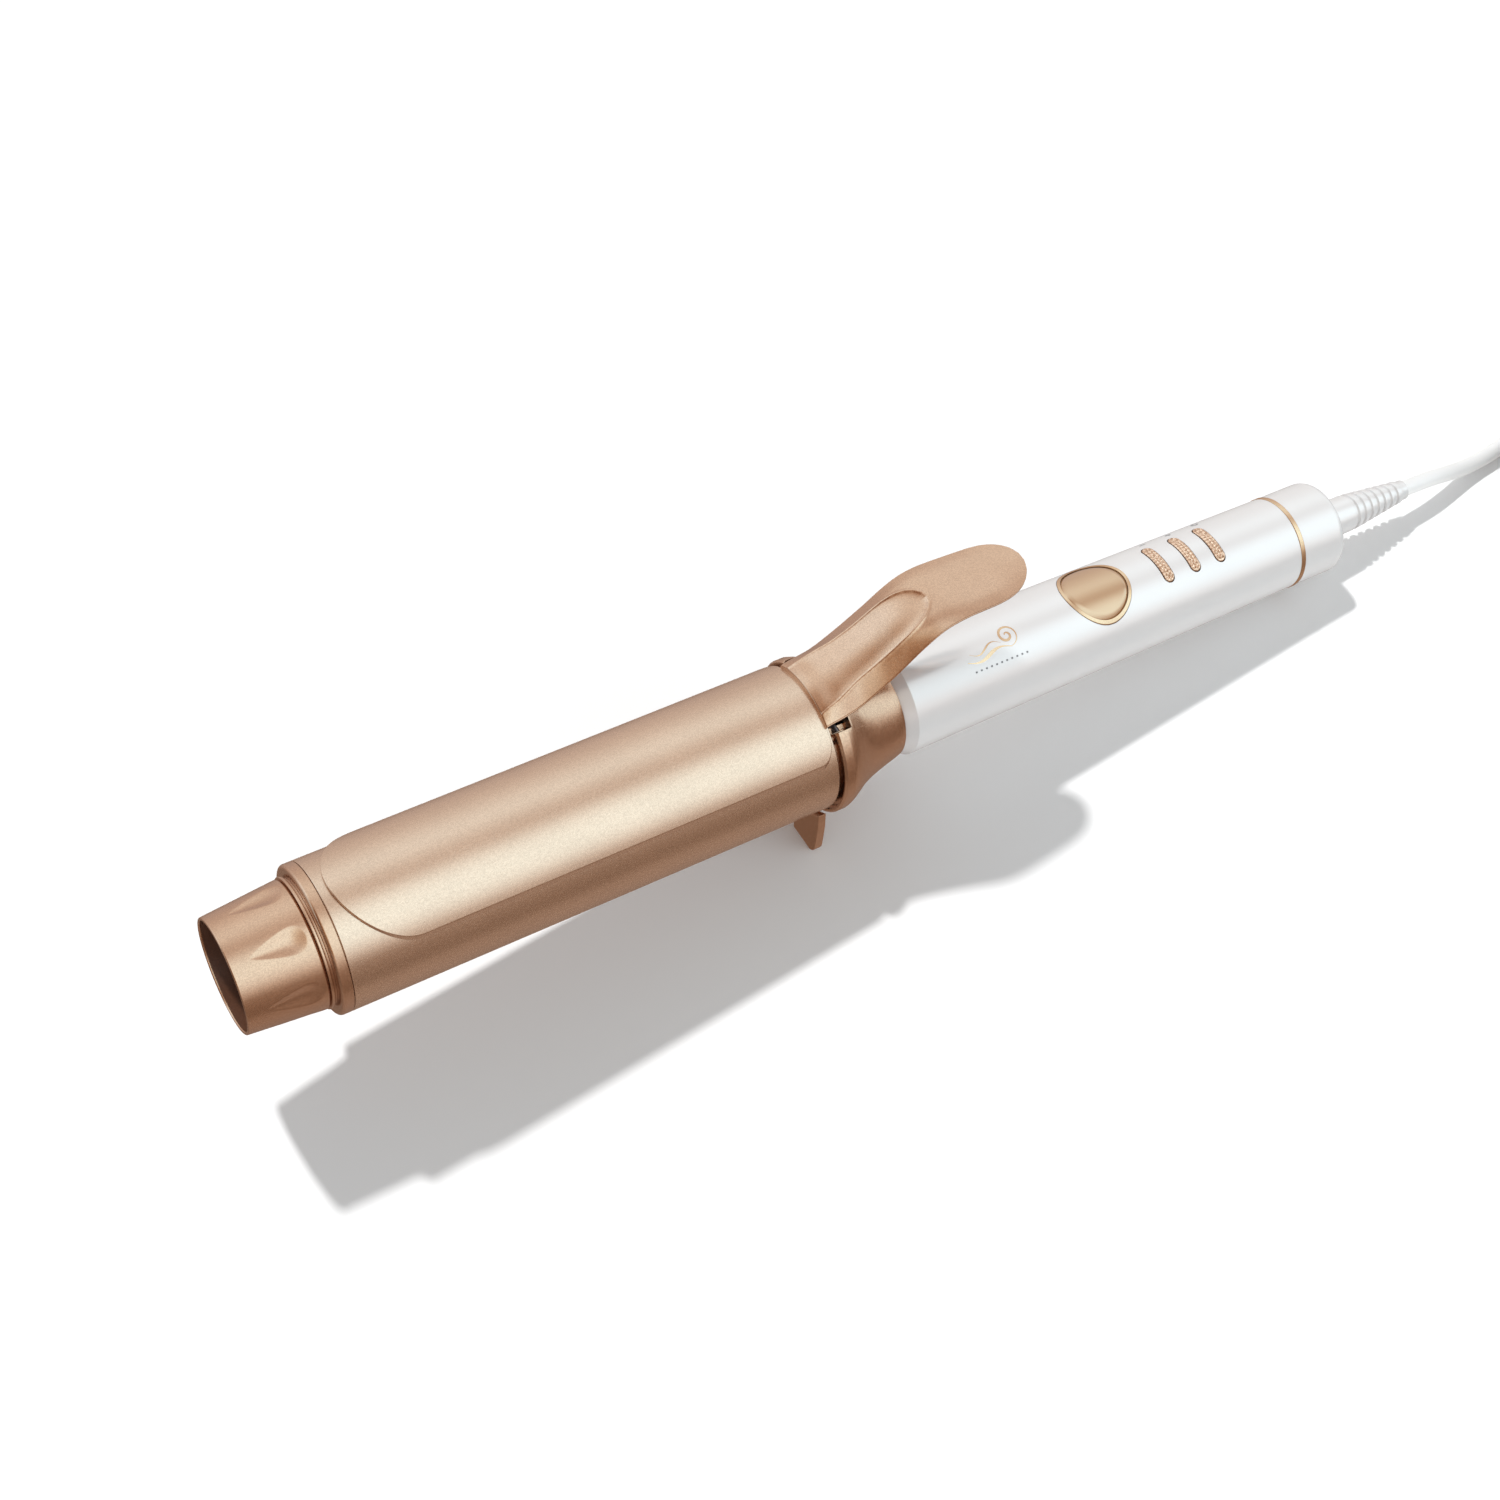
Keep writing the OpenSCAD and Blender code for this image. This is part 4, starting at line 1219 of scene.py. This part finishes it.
def foil_strokes(strokes):
    """Thin strips on the handle's surface. Arc length runs from the lever side towards the
    viewer's side."""
    parts = []
    for stroke in strokes:
        path = np.array(stroke)
        heading = np.gradient(path[:, :2], axis=0)
        heading /= np.linalg.norm(heading, axis=1)[:, None]
        side = np.stack([-heading[:, 1], heading[:, 0]], axis=1) * path[:, 2:3]
        verts = []
        for sign, height in ((-1, FOIL_LIFT), (1, FOIL_LIFT), (1, -0.05), (-1, -0.05)):
            for u, arc in path[:, :2] + sign * side:
                r = grip_r(u)
                verts.append(around(u, r + height, arc / r))
        count = len(path)
        faces = []
        for k in range(count - 1):
            corners = [k, count + k, 2 * count + k, 3 * count + k]
            faces += strip(corners, [i + 1 for i in corners])
        faces += [(0, count, 2 * count, 3 * count)]
        faces += [tuple(i * count + count - 1 for i in range(4))]
        parts.append((verts, faces))
    return merged(*parts)


def bar(u, arc, half_long, half_wide, turn=0):
    c, s = math.cos(turn), math.sin(turn)
    return [(u + t * half_long * c, arc + t * half_long * s, half_wide) for t in np.linspace(-1, 1, 7)]


def curl(u, arc, size, turns, start, width):
    """A spiral lock of hair that thins towards both ends."""
    points = []
    for t in np.linspace(0, 1, 70):
        angle = start + TAU * turns * t
        r = size * (0.12 + 0.88 * t ** 1.2)
        thick = width * (0.25 + 0.75 * math.sin(math.pi * min(t * 1.02, 1)))
        points.append((u + r * math.cos(angle), arc + r * math.sin(angle), thick))
    return points


def add_foil_marks():
    """A wave that ends in a curl, with a row of dots below it, and the buttons' signs."""
    turns = 1.7
    start = TAU / 4 - TAU * turns
    lock = curl(283.2, 4.4, 4.3, turns, start, 0.5)
    tail = [
        (283.2 - 18 * t, 8.7 - 1.2 * math.sin(TAU * t), 0.15 + 0.5 * math.sin(math.pi * t) ** 2)
        for t in np.linspace(0, 1, 40)]
    inner_tail = [
        (280 - 13 * t, 6.2 - 1.4 * math.sin(TAU * t), 0.05 + 0.3 * math.sin(math.pi * t) ** 2)
        for t in np.linspace(0, 1, 30)]
    add_piece("curl_emblem", foil_strokes([lock, tail, inner_tail]), "gold_plating", "root")
    arc = -12.9
    ring_mark = [
        (378 + 1.1 * math.cos(t), arc + 1.1 * math.sin(t), 0.3)
        for t in np.linspace(-TAU * 0.14, TAU * 0.64, 26)]
    signs = [
        bar(354.5, arc, 1.2, 0.36), bar(366, arc, 1.2, 0.34), bar(366, arc, 1.2, 0.34, TAU / 4),
        ring_mark, bar(378, arc - 1, 0.7, 0.3, TAU / 4)]
    signs += [bar(267 + 2.1 * k, 12.6, 0.35, 0.3) for k in range(11)]
    add_piece("button_signs", foil_strokes(signs), "grey_plastic", "root")


# ---------------------------------------------------------------- tie and plug

def add_tie():
    """A hook-and-loop strap round the coil."""
    low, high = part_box("cord_coil")
    centre = (low + high) / 2
    turn = math.radians(200)
    middle_r = (high.x - low.x) / 2 - COIL_WIDE * CORD_RADIUS
    clear = 0.00035
    half_w = COIL_WIDE * CORD_RADIUS + clear
    top = high.z + clear
    inner = rounded([
        (-half_w, 0.0006, 0.002), (half_w, 0.0006, 0.002),
        (half_w, top, 0.002), (-half_w, top, 0.002)], 6)
    outer = rounded([
        (-half_w - 0.0005, 0.0001, 0.0025), (half_w + 0.0005, 0.0001, 0.0025),
        (half_w + 0.0005, top + 0.0006, 0.0025), (-half_w - 0.0005, top + 0.0006, 0.0025)], 6)
    reach_out = Vector((math.cos(turn), math.sin(turn), 0))
    sideways = Vector((-math.sin(turn), math.cos(turn), 0))
    verts = []
    half_long = 0.006
    for outline, shift in (
            (outer, -half_long), (outer, half_long), (inner, half_long), (inner, -half_long)):
        for out, z in outline:
            point = Vector((centre.x, centre.y, z)) + reach_out * (middle_r + out)
            verts.append(point + sideways * shift)
    piece = new_piece("strap", verts, ring_faces(4, len(inner)), "dark_plastic", tool=False)
    edge = piece.modifiers.new("edge", "BEVEL")
    edge.width = 0.00015
    edge.segments = 2
    edge.limit_method = "ANGLE"
    settle(piece, "dark_plastic", "root", "cord_tie")
    return piece


# Stations of the plug from the cord to its face: [along, half width, half height], in mm
PLUG = [
    (0, 3.6, 3.6), (0.4, 4.2, 4.2), (2, 4.5, 4.5), (3, 4.6, 4.5), (5, 5.6, 5), (9, 9.5, 6.1),
    (14, 13.6, 6.7), (20, 15.6, 6.8), (26, 16.8, 6.8), (31, 17.5, 6.8), (33, 17.6, 6.8),
    (33.7, 17.4, 6.6), (34, 16.8, 6)]


def add_plug():
    """A flat two-pin plug that lies on the coil."""
    low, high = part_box("plug_body")
    start = Vector((low.x, (low.y + high.y) / 2, (low.z + high.z) / 2))
    sections = []
    for along, wide, high_half in PLUG:
        power = 2 + 2.2 * smooth((along - 2) / 10)
        ring_points = []
        for k in range(64):
            t = TAU * k / 64
            c, s = math.cos(t), math.sin(t)
            y = math.copysign(abs(c) ** (2 / power), c) * wide
            z = math.copysign(abs(s) ** (2 / power), s) * high_half
            ring_points.append(start + Vector((along, y, z)) * MM)
        sections.append(ring_points)
    return add_piece(
        "mains_plug", loft(sections), "cord_plastic", "root", "plug_body", tool=False, sharp=50)


def add_pins():
    """Two round pins with insulating sleeves and rounded ends."""
    low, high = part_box("plug_pins")
    pin_r = (high.z - low.z) / 2 / MM
    length = (high.x - low.x) / MM
    metal = [(8.8, pin_r - 0.05), (length, pin_r - 0.05, 1.2), (length, 0)]
    sleeving = [(0, pin_r - 0.3), (9.6, pin_r - 0.3, 0.15), (9.6, pin_r, 0.15), (0, pin_r)]
    pieces = []
    for name, corners, slot, *replaced in (
            ("plug_pin_metal", metal, "plated_pins", "plug_pins"),
            ("plug_pin_sleeve", sleeving, "dark_plastic")):
        outline = rounded(corners, 5)
        both = []
        for y in (low.y + pin_r * MM, high.y - pin_r * MM):
            verts = []
            for k in range(48):
                t = TAU * k / 48
                verts += [
                    Vector((low.x + x * MM, y + r * MM * math.cos(t),
                        (low.z + high.z) / 2 + r * MM * math.sin(t))) for x, r in outline]
            both.append((verts, ring_faces(48, len(outline))))
        pieces.append(add_piece(name, merged(*both), slot, "root", *replaced, tool=False))
    return pieces


# ---------------------------------------------------------------- run
add_camera()
dress_cad_nodes()
plug_pieces = [add_plug(), *add_pins(), add_tie()]
add_cord()
add_cool_tip()
add_front_ring()
add_barrel()
add_clamp_plate()
add_thumb_lever()
add_collar()
soft_copy("stand_shell", "stand", "rose_gold_plastic", "stand", 0.35)
add_sleeve()
add_display()
for button in BUTTONS:
    add_button(button)
add_trim_ring()
add_end_cap()
add_boot()
add_foil_marks()
add_world()
add_sun()
add_panel()
add_floor()
scene.view_settings.view_transform = "Standard"

boxes = {"cad": CAD_BOX, "visual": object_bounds()}
{name: [list(corner) for corner in box] for name, box in boxes.items()}
